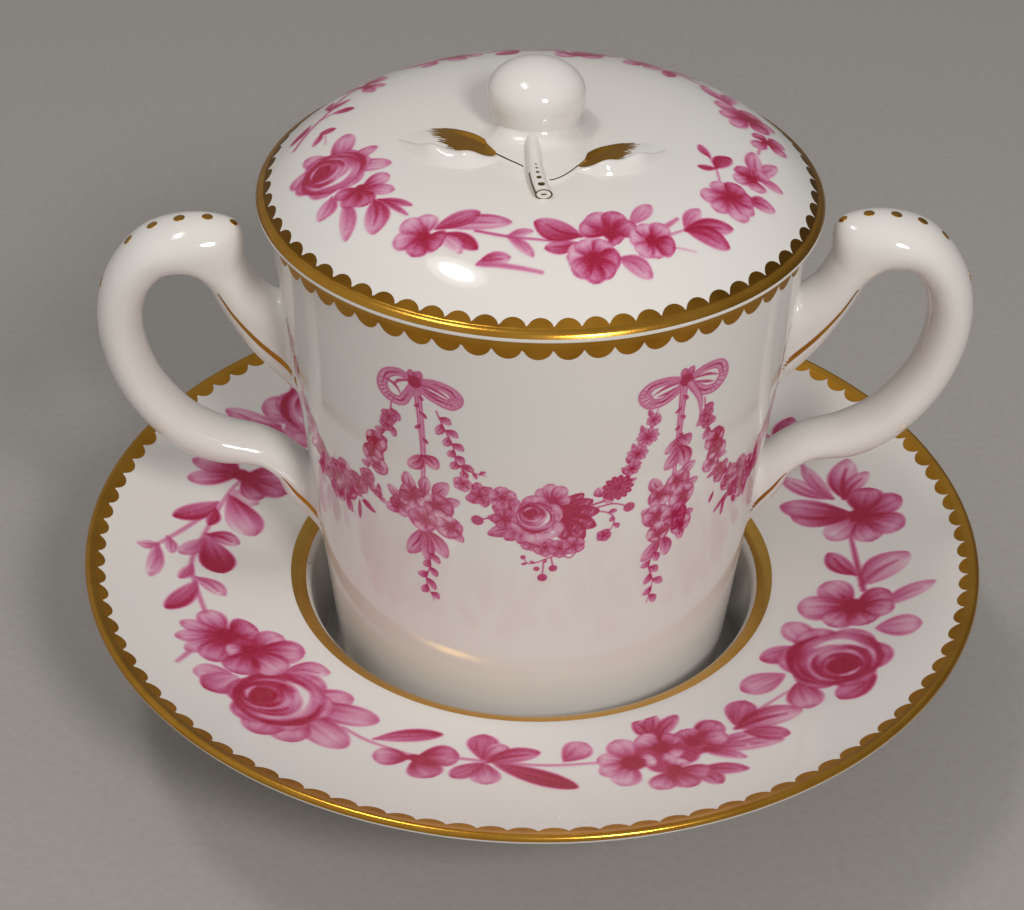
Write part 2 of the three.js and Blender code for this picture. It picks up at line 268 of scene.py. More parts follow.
PORCELAIN = glazed_porcelain()
BURNISHED_GOLD = ("#C48D32", "#D49D3F")
# Paler gold for the well's lip: a painted sheen, as the lip faces up towards the light.
WELL_SHEEN_GOLD = ("#D8A54A", "#E2B25A")
# Darker gold for the stalk's lines and dots: painted shade, standing in for the dark room that they reflect.
STALK_SHADED_GOLD = ("#6B5836", "#7A6640")
GILDING = fired_gilding("fired_gilding", BURNISHED_GOLD, ("#B47E26", "#C99233"))
WELL_SHEEN_GILDING = fired_gilding("well_sheen_gilding", WELL_SHEEN_GOLD, WELL_SHEEN_GOLD)
# The lid's scallops take darker gold: painted shade, standing in for the dark room that they reflect.
LID_SHADED_GILDING = fired_gilding("lid_shaded_gilding", BURNISHED_GOLD, ("#7C551A", "#916723"))
STALK_SHADED_GILDING = fired_gilding("stalk_shaded_gilding", STALK_SHADED_GOLD, STALK_SHADED_GOLD)
ENAMEL = painted_enamel()


# Meshes

def placed(name, data):
    """A new object in the scene."""
    made = bpy.data.objects.new(name, data)
    bpy.context.scene.collection.objects.link(made)
    return made


def piece(name, points, faces, material, smooth=True):
    """A mesh object at the origin, from points in millimetres."""
    mesh = bpy.data.meshes.new(name)
    mesh.from_pydata((np.asarray(points) * MM).tolist(), [], faces)
    mesh.polygons.foreach_set("use_smooth", [smooth] * len(mesh.polygons))
    mesh.materials.append(material)
    mesh.update()
    return placed(name, mesh)


def store(mesh, name, values):
    """Keeps a number on each point of a mesh."""
    mesh.attributes.new(name, "FLOAT", "POINT").data.foreach_set("value", values)


def sheet_corners(rows, columns, closed=False):
    """Corners of each face of a grid of points laid out row by row; a closed one joins its sides."""
    index = np.arange(rows * columns).reshape(rows, columns)
    if closed:
        index = np.hstack([index, index[:, :1]])
    return np.stack([index[:-1, :-1], index[:-1, 1:], index[1:, 1:], index[1:, :-1]], axis=-1)


def sheet_faces(rows, columns, closed=False):
    """Faces of such a grid as a list."""
    return sheet_corners(rows, columns, closed).reshape(-1, 4).tolist()


def capped_tube(name, points, rows, sides):
    """Rings of points as a glazed tube, closed at both ends and with its faces outwards."""
    ends = [list(range(sides)), list(range((rows - 1) * sides, rows * sides))]
    made = piece(name, points, sheet_faces(rows, sides, closed=True) + ends, PORCELAIN)
    edit = bmesh.new()
    edit.from_mesh(made.data)
    bmesh.ops.recalc_face_normals(edit, faces=edit.faces)
    edit.to_mesh(made.data)
    edit.free()
    return made


def soft_step(value):
    """A smooth step from 0 to 1."""
    share = np.clip(value, 0, 1)
    return share * share * (3 - 2 * share)


def unit(ways):
    """Ways scaled to a length of 1."""
    return ways / np.linalg.norm(ways, axis=-1, keepdims=True)


def full_turn(steps):
    """Angles of even steps once round."""
    return np.arange(steps) * 2 * math.pi / steps


def crossed(rows, columns):
    """Values of a grid's rows and of its columns at each of its points."""
    return np.meshgrid(rows, columns, indexing="ij")


def bezier(start, first_pull, second_pull, end, steps):
    """Points of a cubic curve, from its two ends and two pulls."""
    t = np.linspace(0, 1, steps + 1)[:, None]
    a, b, c, d = (np.array(point, float) for point in (start, first_pull, second_pull, end))
    return (1 - t) ** 3 * a + 3 * (1 - t) ** 2 * t * b + 3 * (1 - t) * t ** 2 * c + t ** 3 * d


def straight(start, end, steps):
    """Points of a straight stretch."""
    t = np.linspace(0, 1, steps + 1)[:, None]
    return np.array(start, float) * (1 - t) + np.array(end, float) * t


def rounded(corner, before, after, size, steps=5):
    """A profile corner with its edge rounded off, between the points before and after it."""
    corner, before, after = (np.array(point, float) for point in (corner, before, after))
    start = corner + unit(before - corner) * size
    end = corner + unit(after - corner) * size
    return bezier(start, (start + 2 * corner) / 3, (end + 2 * corner) / 3, end, steps)


def joined(*stretches):
    """One profile from several, without doubled points."""
    points = np.vstack(stretches)
    apart = np.linalg.norm(np.diff(points, axis=0), axis=1) > NO_LENGTH
    return points[np.concatenate(([True], apart))]


def offset(points, distance):
    """A profile moved sideways by a wall thickness, to the right of its direction."""
    along = unit(np.gradient(points, axis=0))
    return points + np.stack([along[:, 1], -along[:, 0]], axis=1) * distance


def through(knots, share):
    """Points of a smooth line through knots, at shares of the way along them."""
    ends = np.vstack([2 * knots[0] - knots[1], knots, 2 * knots[-1] - knots[-2]])
    place = np.asarray(share) * (len(knots) - 1)
    i = np.clip(place.astype(int), 0, len(knots) - 2)
    t = (place - i)[:, None]
    a, b, c, d = (ends[i + step] for step in range(4))
    before, within, after = (
        np.sqrt(np.linalg.norm(q - p, axis=1))[:, None] for p, q in ((a, b), (b, c), (c, d))
    )
    leave = ((b - a) / before - (c - a) / (before + within) + (c - b) / within) * within
    arrive = ((c - b) / within - (d - b) / (within + after) + (d - c) / after) * within
    square, cube = 3 * (c - b) - 2 * leave - arrive, 2 * (b - c) + leave + arrive
    return b + leave * t + square * t ** 2 + cube * t ** 3


def turned(name, profile, material, centre=(0.0, 0.0), segments=TURN_STEPS):
    """A profile of (radius, height) turned round an upright axis, closed at its poles."""
    turns = full_turn(segments)
    points, rings = [], []
    for radius, height in profile:
        rings.append((len(points), radius > NO_LENGTH))
        if radius > NO_LENGTH:
            points += [
                (centre[0] + radius * math.cos(t), centre[1] + radius * math.sin(t), height) for t in turns
            ]
        else:
            points.append((centre[0], centre[1], height))
    faces = []
    for (low, low_open), (high, high_open) in zip(rings, rings[1:]):
        for j in range(segments):
            k = (j + 1) % segments
            if low_open and high_open:
                faces.append((low + j, low + k, high + k, high + j))
            elif high_open:
                faces.append((low, high + k, high + j))
            elif low_open:
                faces.append((low + j, low + k, high))
    return piece(name, points, faces, material)


# Saucer

def cup_wall_radius(height):
    """Outer radius of the cup's straight wall at a height above the table."""
    share = (height - CUP_FOOT_HEIGHT) / CUP_HEIGHT
    return CUP_BASE_RADIUS + (CUP_RIM_RADIUS - CUP_BASE_RADIUS) * share


def well_wall(height):
    """Radius of the well's wall at a height above the table."""
    return cup_wall_radius(height) + WELL_GAP


WELL_LIP_RADIUS = well_wall(WELL_LIP_HEIGHT) + WELL_LIP_WIDTH
RIM_TOP = (SAUCER_RADIUS - SAUCER_EDGE / 2, SAUCER_HEIGHT)


def plate_profile(steps=60):
    """Top of the plate, from the rim in to the well's lip."""
    return bezier(
        RIM_TOP,
        (SAUCER_RADIUS - PLATE_RIM_IN, SAUCER_HEIGHT - PLATE_RIM_DOWN),
        (WELL_LIP_RADIUS + PLATE_FLAT, WELL_LIP_HEIGHT),
        (WELL_LIP_RADIUS, WELL_LIP_HEIGHT),
        steps,
    )


def lip_profile(steps=20):
    """Rounded lip of the well, from the plate down into the well."""
    low = WELL_LIP_HEIGHT - WELL_LIP_DROP
    return bezier(
        (WELL_LIP_RADIUS, WELL_LIP_HEIGHT),
        (WELL_LIP_RADIUS - WELL_LIP_WIDTH * 0.55, WELL_LIP_HEIGHT),
        (well_wall(WELL_LIP_HEIGHT), WELL_LIP_HEIGHT - WELL_LIP_DROP * 0.3),
        (well_wall(low), low),
        steps,
    )


def rim_profile(steps):
    """Edge of the saucer, from its under side round to its top."""
    under = (SAUCER_RADIUS - SAUCER_EDGE / 2, SAUCER_HEIGHT - SAUCER_EDGE)
    return bezier(
        under,
        (SAUCER_RADIUS + SAUCER_EDGE * 0.2, SAUCER_HEIGHT - SAUCER_EDGE),
        (SAUCER_RADIUS + SAUCER_EDGE * 0.2, SAUCER_HEIGHT),
        RIM_TOP,
        steps,
    )


def make_saucer():
    """Saucer with its deep well and its foot ring."""
    plate = plate_profile()
    corner_top = WELL_FLOOR_HEIGHT + WELL_CORNER
    corner_radius = well_wall(corner_top)
    corner = bezier(
        (corner_radius, corner_top),
        (corner_radius, WELL_FLOOR_HEIGHT + WELL_CORNER * 0.45),
        (corner_radius - WELL_CORNER * 0.55, WELL_FLOOR_HEIGHT),
        (corner_radius - WELL_CORNER, WELL_FLOOR_HEIGHT),
        steps=10,
    )
    foot_slope = 1
    foot_outer = well_wall(WELL_FLOOR_HEIGHT) + SAUCER_WALL
    foot_inner = foot_outer - SAUCER_FOOT_WIDTH - foot_slope
    foot_edge = foot_inner + SAUCER_FOOT_WIDTH
    under_lip = (well_wall(WELL_LIP_HEIGHT) + SAUCER_WALL, WELL_LIP_HEIGHT - 2.5 * WELL_LIP_DROP)
    under_plate = offset(plate, -SAUCER_WALL)[6:-6][::-1]
    under_bend = bezier(
        under_lip,
        (under_lip[0] + 0.4, WELL_LIP_HEIGHT - SAUCER_WALL),
        (under_lip[0] + 2, under_plate[0][1]),
        under_plate[0],
        steps=16,
    )
    recess = (foot_inner - foot_slope, SAUCER_FOOT_RECESS)
    return turned(
        "saucer_glazed",
        joined(
            [(0, SAUCER_FOOT_RECESS)],
            rounded(recess, (0, SAUCER_FOOT_RECESS), (foot_inner, 0), size=0.6),
            rounded((foot_inner, 0), recess, (foot_edge, 0), size=0.4),
            rounded((foot_edge, 0), (foot_inner, 0), (foot_outer, foot_slope), size=0.4),
            rounded((foot_outer, foot_slope), (foot_edge, 0), under_lip, size=0.5),
            under_bend,
            under_plate,
            rim_profile(steps=40),
            plate,
            lip_profile(),
            corner,
            [(0, WELL_FLOOR_HEIGHT)],
        ),
        PORCELAIN,
    )


# Cup

def make_cup():
    """Tapered beaker with a rounded lip and a foot ring."""
    low = CUP_FOOT_HEIGHT
    high = low + CUP_HEIGHT
    foot_inner = CUP_FOOT_RADIUS - CUP_FOOT_WIDTH
    turn_in = low + CUP_FOOT_CURVE
    foot_curve = bezier(
        (CUP_FOOT_RADIUS + 0.5, low + CUP_FOOT_RECESS * 0.5),
        (cup_wall_radius(low) - 1.5, low + CUP_FOOT_RECESS),
        (cup_wall_radius(low + CUP_FOOT_CURVE * 0.4), low + CUP_FOOT_CURVE * 0.4),
        (cup_wall_radius(turn_in), turn_in),
        steps=20,
    )
    floor = low + CUP_FLOOR
    inside_turn = floor + CUP_FOOT_CURVE

    def inside(height):
        """Radius of the cup's inside at a height above the table."""
        return cup_wall_radius(height) - CUP_WALL

    inside_curve = bezier(
        (inside(inside_turn), inside_turn),
        (inside(floor + CUP_FOOT_CURVE * 0.4), floor + CUP_FOOT_CURVE * 0.4),
        (inside(floor) - 3, floor),
        (inside(floor) - CUP_FOOT_CURVE, floor),
        steps=20,
    )
    lip = high - CUP_LIP_ROUND
    recess = (0, low + CUP_FOOT_RECESS)
    recess_edge = (foot_inner - 0.6, low + CUP_FOOT_RECESS)
    foot_edge = (foot_inner, low)
    outer_corner = (cup_wall_radius(high), high)
    inner_corner = (inside(high), high)
    return turned(
        "cup_glazed",
        joined(
            [recess],
            rounded(recess_edge, recess, foot_edge, size=0.4),
            rounded(foot_edge, recess_edge, (CUP_FOOT_RADIUS, low), size=0.3),
            rounded((CUP_FOOT_RADIUS, low), foot_edge, foot_curve[0], size=0.3),
            foot_curve,
            straight((cup_wall_radius(turn_in), turn_in), (cup_wall_radius(lip), lip), steps=40)[1:-1],
            rounded(outer_corner, (cup_wall_radius(lip), lip), inner_corner, size=CUP_LIP_ROUND, steps=8),
            rounded(inner_corner, outer_corner, (inside(lip), lip), size=CUP_LIP_ROUND, steps=8),
            straight((inside(lip), lip), (inside(inside_turn), inside_turn), steps=30)[1:-1],
            inside_curve,
            [(0, floor)],
        ),
        PORCELAIN,
    )


# Lid

def dome_profile(steps=70):
    """Outside of the lid's dome, from its edge up to the crown under the bud."""
    edge = LID_SEAT + LID_EDGE
    return bezier(
        (LID_RADIUS, edge),
        (LID_RADIUS - LID_SHOULDER_IN, edge + LID_SHOULDER_UP),
        (LID_RADIUS - LID_CROWN_PULL, LID_CROWN),
        (BUD_BASE_RADIUS + abs(BUD_SHIFT) + 0.3, LID_CROWN),
        steps,
    )


DOME = dome_profile(steps=300)[::-1]


def dome_height(x, y):
    """Height of the dome's outside over a point seen from above."""
    return np.interp(np.hypot(x, y), DOME[:, 0], DOME[:, 1])


def make_lid():
    """Domed lid with the ring that holds it in the cup's mouth."""
    dome = dome_profile()
    ring_radius = cup_wall_radius(LID_SEAT - LID_RING_DEPTH) - CUP_WALL - LID_RING_GAP
    ring_bore = ring_radius - LID_RING_WALL
    inside = offset(dome, -LID_WALL)
    inside = inside[inside[:, 0] < ring_bore - 0.5][::-1]
    ring_foot = LID_SEAT - LID_RING_DEPTH
    inner_foot = (ring_bore, ring_foot)
    outer_foot = (ring_radius, ring_foot)
    seat_in = (ring_radius, LID_SEAT)
    seat_out = (LID_RADIUS, LID_SEAT)
    bore_top = (ring_bore, inside[-1][1] - 1)
    return turned(
        "lid_glazed",
        joined(
            [(0, LID_CROWN - LID_WALL)],
            inside,
            rounded(bore_top, inside[-1], inner_foot, size=0.4),
            rounded(inner_foot, bore_top, outer_foot, size=0.8),
            rounded(outer_foot, inner_foot, seat_in, size=0.8),
            [seat_in],
            rounded(seat_out, seat_in, dome[0], size=0.25),
            rounded(dome[0], seat_out, dome[4], size=0.3),
            dome[2:],
            [(0, LID_CROWN)],
        ),
        PORCELAIN,
    )


# Finial: the bud with the web of clay round its foot, its stalk and two leaves in low relief

BUD_FOOT_RADIUS = BUD_BASE_RADIUS + 0.8
BUD_SUNK = 0.5
BUD_SEGMENTS = 128


def make_bud():
    """Round bud with a flattened top and a full foot."""
    waist = LID_CROWN + BUD_WAIST_HEIGHT
    top = LID_CROWN + BUD_HEIGHT
    lower = bezier(
        (BUD_FOOT_RADIUS, LID_CROWN - BUD_SUNK),
        (BUD_FOOT_RADIUS, LID_CROWN + BUD_WAIST_HEIGHT * 0.36),
        (BUD_RADIUS, LID_CROWN + BUD_WAIST_HEIGHT * 0.58),
        (BUD_RADIUS, waist),
        steps=30,
    )
    upper = bezier(
        (BUD_RADIUS, waist),
        (BUD_RADIUS, waist + (top - waist) * 0.56),
        (BUD_RADIUS * 0.56, top),
        (0, top),
        steps=30,
    )
    return turned(
        "finial_bud_glazed",
        joined([(0, LID_CROWN - BUD_SUNK)], lower, upper),
        PORCELAIN,
        centre=(BUD_SHIFT, 0.0),
        segments=BUD_SEGMENTS,
    )


# Outlines of the leaves seen from above: root, two pulls to the tip, tip, two pulls back.
LEAF_OUTLINES = {
    "left": [(-6.6, -10.6), (-9.5, -4), (-13.5, 3.4), (-23.2, -2.4), (-19, -16), (-9, -15.5)],
    "right": [(3.8, -14.4), (7, -9), (10.5, -3.2), (19.5, -6.8), (16, -17.4), (7, -17.6)],
}
LEAF_STEPS = 90
LEAF_ROWS = 48
# Relief of a leaf in shares of its height: the blade, the rolled front edge with its lumps, the back edge.
# Places and half widths run across the leaf, from -1 at the front edge to 1 at the back one.
BLADE_RISE = 0.22
ROLL_RISE = 1.05
ROLL_PLACE = -0.62
ROLL_HALF = 0.38
ROLL_LUMPS = 3.2
LUMP_RISE = 0.14
BACK_RISE = 0.42
BACK_PLACE = 0.84
BACK_HALF = 0.12
# Clay that lies on the dome is sunk into it by a hair, so that no gap shows.
ROOT_SUNK = 0.02


def leaf_surface(side, along, across):
    """Points on a leaf: along runs from its root to its tip, across from the front edge to the back one."""
    root, back_pull, back_pull_tip, tip, front_pull_tip, front_pull = LEAF_OUTLINES[side]
    fine = np.linspace(0, 1, 201)
    back = bezier(root, back_pull, back_pull_tip, tip, steps=200)
    front = bezier(root, front_pull, front_pull_tip, tip, steps=200)
    x, y = (
        np.interp(along, fine, front[:, i]) * (1 - across) / 2
        + np.interp(along, fine, back[:, i]) * (1 + across) / 2
        for i in (0, 1)
    )
    ends = soft_step(np.minimum(along / 0.14, (1 - along) / 0.34))
    blade = BLADE_RISE * (1 - across ** 2)
    roll_across = np.clip((across - ROLL_PLACE) / ROLL_HALF, -1, 1)
    lumps = 1 + LUMP_RISE * np.sin(2 * math.pi * ROLL_LUMPS * along + 0.6)
    roll = ROLL_RISE * (1 - roll_across ** 2) ** 1.4 * lumps * soft_step((along - 0.04) / 0.42)
    ridge = np.exp(-(((across - BACK_PLACE) / BACK_HALF) ** 2))
    back_edge = BACK_RISE * ridge * (1 - soft_step((along - 0.3) / 0.4))
    relief = LEAF_RELIEF * ends * (blade + roll + back_edge)
    return np.stack([x, y, dome_height(x, y) + relief - ROOT_SUNK], axis=-1)


def make_leaf(side):
    """Leaf in low relief whose front edge is rolled over; its outline runs out into the dome."""
    along, across = np.meshgrid(np.linspace(0, 1, LEAF_STEPS), np.linspace(-1, 1, LEAF_ROWS))
    points = leaf_surface(side, along, across).reshape(-1, 3)
    made = piece(f"finial_leaf_{side}_glazed", points, sheet_faces(LEAF_ROWS, LEAF_STEPS), PORCELAIN)
    if made.data.polygons[0].normal.z < 0:
        made.data.flip_normals()
    return made


# Edge of the calyx round the bud: degrees to the right of the front, and the distance from the bud's middle.
CALYX_EDGE = np.array(
    [
        (-180, 8.6), (-110, 8.8), (-80, 9.2), (-58, 10.2), (-39, 12.2), (-24, 13.3), (-10, 15.2), (-3, 17.6),
        (4, 19.2), (9, 18.7), (15, 17.5), (23, 15.8), (36, 13.2), (55, 10.8), (78, 9.4), (110, 8.8),
        (180, 8.6),
    ]
)
CALYX_OUTLINE = through(CALYX_EDGE, np.linspace(0, 1, 400))
CALYX_START = BUD_FOOT_RADIUS + 0.05
CALYX_CLIMB = 0.2
CALYX_RISE = 1.9
CALYX_HOLLOW = 3.4
CALYX_SWELL = 0.5
CALYX_LIP = 0.55
CALYX_LIP_START = 0.86
CALYX_ROWS = 40
CALYX_SIDES = 240


def calyx_bounds(angle):
    """Where the web starts on the bud and where it ends on the lid, and how much of its front form it has."""
    front = soft_step((angle + 80) / 50) * soft_step((66 - angle) / 50)
    start = CALYX_START + CALYX_CLIMB * front
    return start, np.interp(angle, CALYX_OUTLINE[:, 0], CALYX_OUTLINE[:, 1]), front


def calyx_rise(x, y):
    """Height above the dome of the web between the bud, the stalk and the leaves; nothing beyond its edge."""
    start, reach, front = calyx_bounds(np.degrees(np.arctan2(x - BUD_SHIFT, -y)))
    radius = np.hypot(x - BUD_SHIFT, y)
    share = (radius - start) / (reach - start)
    width = np.minimum(CALYX_HOLLOW, reach - start)
    hollow = np.clip((radius - start) / width, 0, 1)
    rise = CALYX_RISE * width / CALYX_HOLLOW * (1 - np.sqrt(1 - (1 - hollow) ** 2))
    rise = rise + CALYX_SWELL * front * (1 - np.clip(share, 0, 1)) ** 2
    lip = soft_step((share - CALYX_LIP_START) / (1 - CALYX_LIP_START))
    rise = rise + CALYX_LIP * front * (1 - lip)
    return np.where(share < 1.001, rise, 0.0)


def calyx_surface(angle, share):
    """Points on the web: share runs from the bud to its edge."""
    turn = np.radians(angle)
    start, reach, _ = calyx_bounds(angle)
    radius = start + (reach - start) * share
    x = BUD_SHIFT + radius * np.sin(turn)
    y = -radius * np.cos(turn)
    return np.stack([x, y, dome_height(x, y) + calyx_rise(x, y) - ROOT_SUNK], axis=-1)


def make_calyx():
    """Soft web of clay that spreads from the bud's foot and ends in a thin lip in front."""
    angles = np.linspace(-180, 180, CALYX_SIDES + 1)[:-1]
    share, angle = crossed(np.linspace(1, 0, CALYX_ROWS), angles)
    points = calyx_surface(angle, share).reshape(-1, 3)
    return piece("finial_calyx_glazed", points, sheet_faces(CALYX_ROWS, CALYX_SIDES, closed=True), PORCELAIN)


STALK_STEPS = 60
STALK_SIDES = 48
STALK_EDGE_ANGLE = 50


def stalk_surface(share, turn, lift=0.0):
    """Points on the stalk: share runs from the bud to the cut end, turn from its left side over its top."""
    y = -BUD_BASE_RADIUS + (BUD_BASE_RADIUS - STALK_LENGTH) * share
    x = STALK_SHIFT - STALK_SWAY + (STALK_END_SHIFT - STALK_SHIFT + STALK_SWAY) * share ** 4
    across = STALK_RADIUS * (0.7 + 0.26 * share)
    upright = across * (1 - 0.34 * share)
    spread = 1 + 0.6 * (1 - share ** 6) * np.maximum(0, -np.sin(turn)) ** 2
    middle = dome_height(x, y) + STALK_RADIUS * (0.9 - 0.36 * share)
    x = x - np.cos(turn) * (across * spread + lift)
    z = middle + np.sin(turn) * (upright + lift)
    return np.stack([x, y + 0 * turn, z], axis=-1)


def make_stalk():
    """Round stem, flatter and a little wider at its cut end, whose sides run down into the dome."""
    share, turn = crossed(np.linspace(0, 1, STALK_STEPS), full_turn(STALK_SIDES))
    points = stalk_surface(share, turn).reshape(-1, 3)
    made = capped_tube("finial_stalk_glazed", points, STALK_STEPS, STALK_SIDES)
    made.data.set_sharp_from_angle(angle=math.radians(STALK_EDGE_ANGLE))
    return made


# Handles

# Each row is a point of a handle's path, from its upper root to its lower one: how far out from the
# cup's wall, how far down from the path's top, the strap's thickness on its outer and on its inner
# side, and its width.
HANDLE_PATH = np.array(
    [
        (-4, 22, 5.5, 7.6, 8),
        (2.9, 15, 5.2, 5.8, 9.4),
        (6.5, 10.5, 3.9, 3.9, 9.8),
        (9, 5.6, 3.5, 3.2, 10.2),
        (11, 3, 8.8, 3.4, 11.2),
        (13.2, 1.3, 6, 4, 12.2),
        (16, 0.8, 4.6, 4.2, 12.8),
        (19.7, 1.8, 4, 4, 12.8),
        (24.3, 6.4, 3.8, 3.8, 12.4),
        (26.9, 12.5, 3.7, 3.7, 12),
        (27.4, 19.7, 3.6, 3.6, 11.4),
        (25.6, 27.4, 3.5, 3.5, 10.8),
        (20.8, 34.6, 3.9, 3.4, 10),
        (14.9, 38.3, 4.6, 3.2, 9.6),
        (8.2, 40.5, 1.8, 3.2, 9.4),
        (4.6, 43.6, 2.2, 3.6, 9.2),
        (2.3, 47.4, 3.4, 4.1, 8.8),
        (-4, 56, 4, 4, 7),
    ]
)
HANDLE_STEPS = 300
HANDLE_SIDES = 56
ROOT_FILLET = 2.2
ROOT_DEPTH = 1.4
# The left handle is the right one turned half round the upright axis.
HALF_TURN = (-1, -1, 1)
SIDE_TURNS = {"left": HALF_TURN, "right": (1, 1, 1)}

HANDLE_TOP = LID_SEAT - HANDLE_TOP_DROP
HANDLE_KNOTS = np.column_stack(
    [cup_wall_radius(HANDLE_TOP - HANDLE_PATH[:, 1]) + HANDLE_PATH[:, 0], HANDLE_TOP - HANDLE_PATH[:, 1]]
)
HANDLE_SHARES = np.linspace(0, 1, HANDLE_STEPS)


def handle_column(column):
    """A size of the strap along the handle, smoothed over the rows of the path."""
    rows = np.linspace(0, 1, len(HANDLE_PATH))
    width = HANDLE_STEPS // len(HANDLE_PATH) * 2 + 1
    plain = np.interp(HANDLE_SHARES, rows, HANDLE_PATH[:, column])
    padded = np.pad(plain, width // 2, mode="edge")
    weights = np.hanning(width + 2)
    return np.convolve(padded, weights[1:-1] / weights.sum(), mode="valid")


HANDLE_MIDDLE = through(HANDLE_KNOTS, HANDLE_SHARES)
HANDLE_AHEAD = unit(np.gradient(HANDLE_MIDDLE, axis=0))
HANDLE_SIZES = {name: handle_column(column) for column, name in ((2, "outer"), (3, "inner"), (4, "width"))}


def handle_surface(share, turn, lift=0.0):
    """Points on the right handle: share runs along it, turn round it with the loop's inside at 0."""
    x, z = (np.interp(share, HANDLE_SHARES, HANDLE_MIDDLE[:, i]) for i in (0, 1))
    ahead_x, ahead_z = (np.interp(share, HANDLE_SHARES, HANDLE_AHEAD[:, i]) for i in (0, 1))
    outer, inner, width = (np.interp(share, HANDLE_SHARES, size) for size in HANDLE_SIZES.values())
    in_plane = np.cos(turn) * (np.where(np.cos(turn) < 0, outer, inner) + lift)
    across = np.sin(turn) * (width / 2 + lift)
    points = np.stack([x + ahead_z * in_plane, across, z - ahead_x * in_plane], axis=-1)
    way = np.stack([ahead_z * np.cos(turn), np.sin(turn), -ahead_x * np.cos(turn)], axis=-1)
    return flared(points, way)


def flared(points, way):
    """Spreads a handle's root where it meets the cup's wall, and keeps it inside that wall."""
    radius = np.hypot(points[..., 0], points[..., 1])
    gap = radius - cup_wall_radius(points[..., 2])
    out = np.stack([points[..., 0] / radius, points[..., 1] / radius, np.zeros_like(radius)], axis=-1)
    way = way - out * np.sum(way * out, axis=-1)[..., None]
    near = np.clip(gap, 0, ROOT_FILLET)
    spread = ROOT_FILLET - np.sqrt(ROOT_FILLET ** 2 - (ROOT_FILLET - near) ** 2)
    sunk = np.maximum(-ROOT_DEPTH - gap, 0)
    return points + way * spread[..., None] + out * sunk[..., None]


def make_handle(side):
    """Ear-shaped strap whose roots run out into the cup's wall as tongues."""
    share, turn = crossed(HANDLE_SHARES, full_turn(HANDLE_SIDES))
    points = handle_surface(share, turn).reshape(-1, 3) * SIDE_TURNS[side]
    return capped_tube(f"handle_{side}_glazed", points, HANDLE_STEPS, HANDLE_SIDES)


# Gilding: scalloped bands, plain bands, dots and brushed lines

def node_group(name, inputs):
    """An empty geometry nodes tree, and the identifiers of its inputs by their names."""
    tree = bpy.data.node_groups.new(name, "GeometryNodeTree")
    sockets = {
        title: tree.interface.new_socket(title, in_out="INPUT", socket_type=kind).identifier
        for title, kind in inputs.items()
    }
    tree.interface.new_socket("Geometry", in_out="OUTPUT", socket_type="NodeSocketGeometry")
    return tree, sockets


def end_group(tree, geometry, finish):
    """Closes a geometry nodes tree: smooth, real and with its material."""
    smooth = add(tree, "GeometryNodeSetShadeSmooth", {"Geometry": geometry})
    real = add(tree, "GeometryNodeRealizeInstances", {"Geometry": smooth.outputs["Geometry"]})
    laid_on = {"Geometry": real.outputs["Geometry"], "Material": finish}
    finished = add(tree, "GeometryNodeSetMaterial", laid_on)
    add(tree, "NodeGroupOutput", {"Geometry": finished.outputs["Geometry"]})


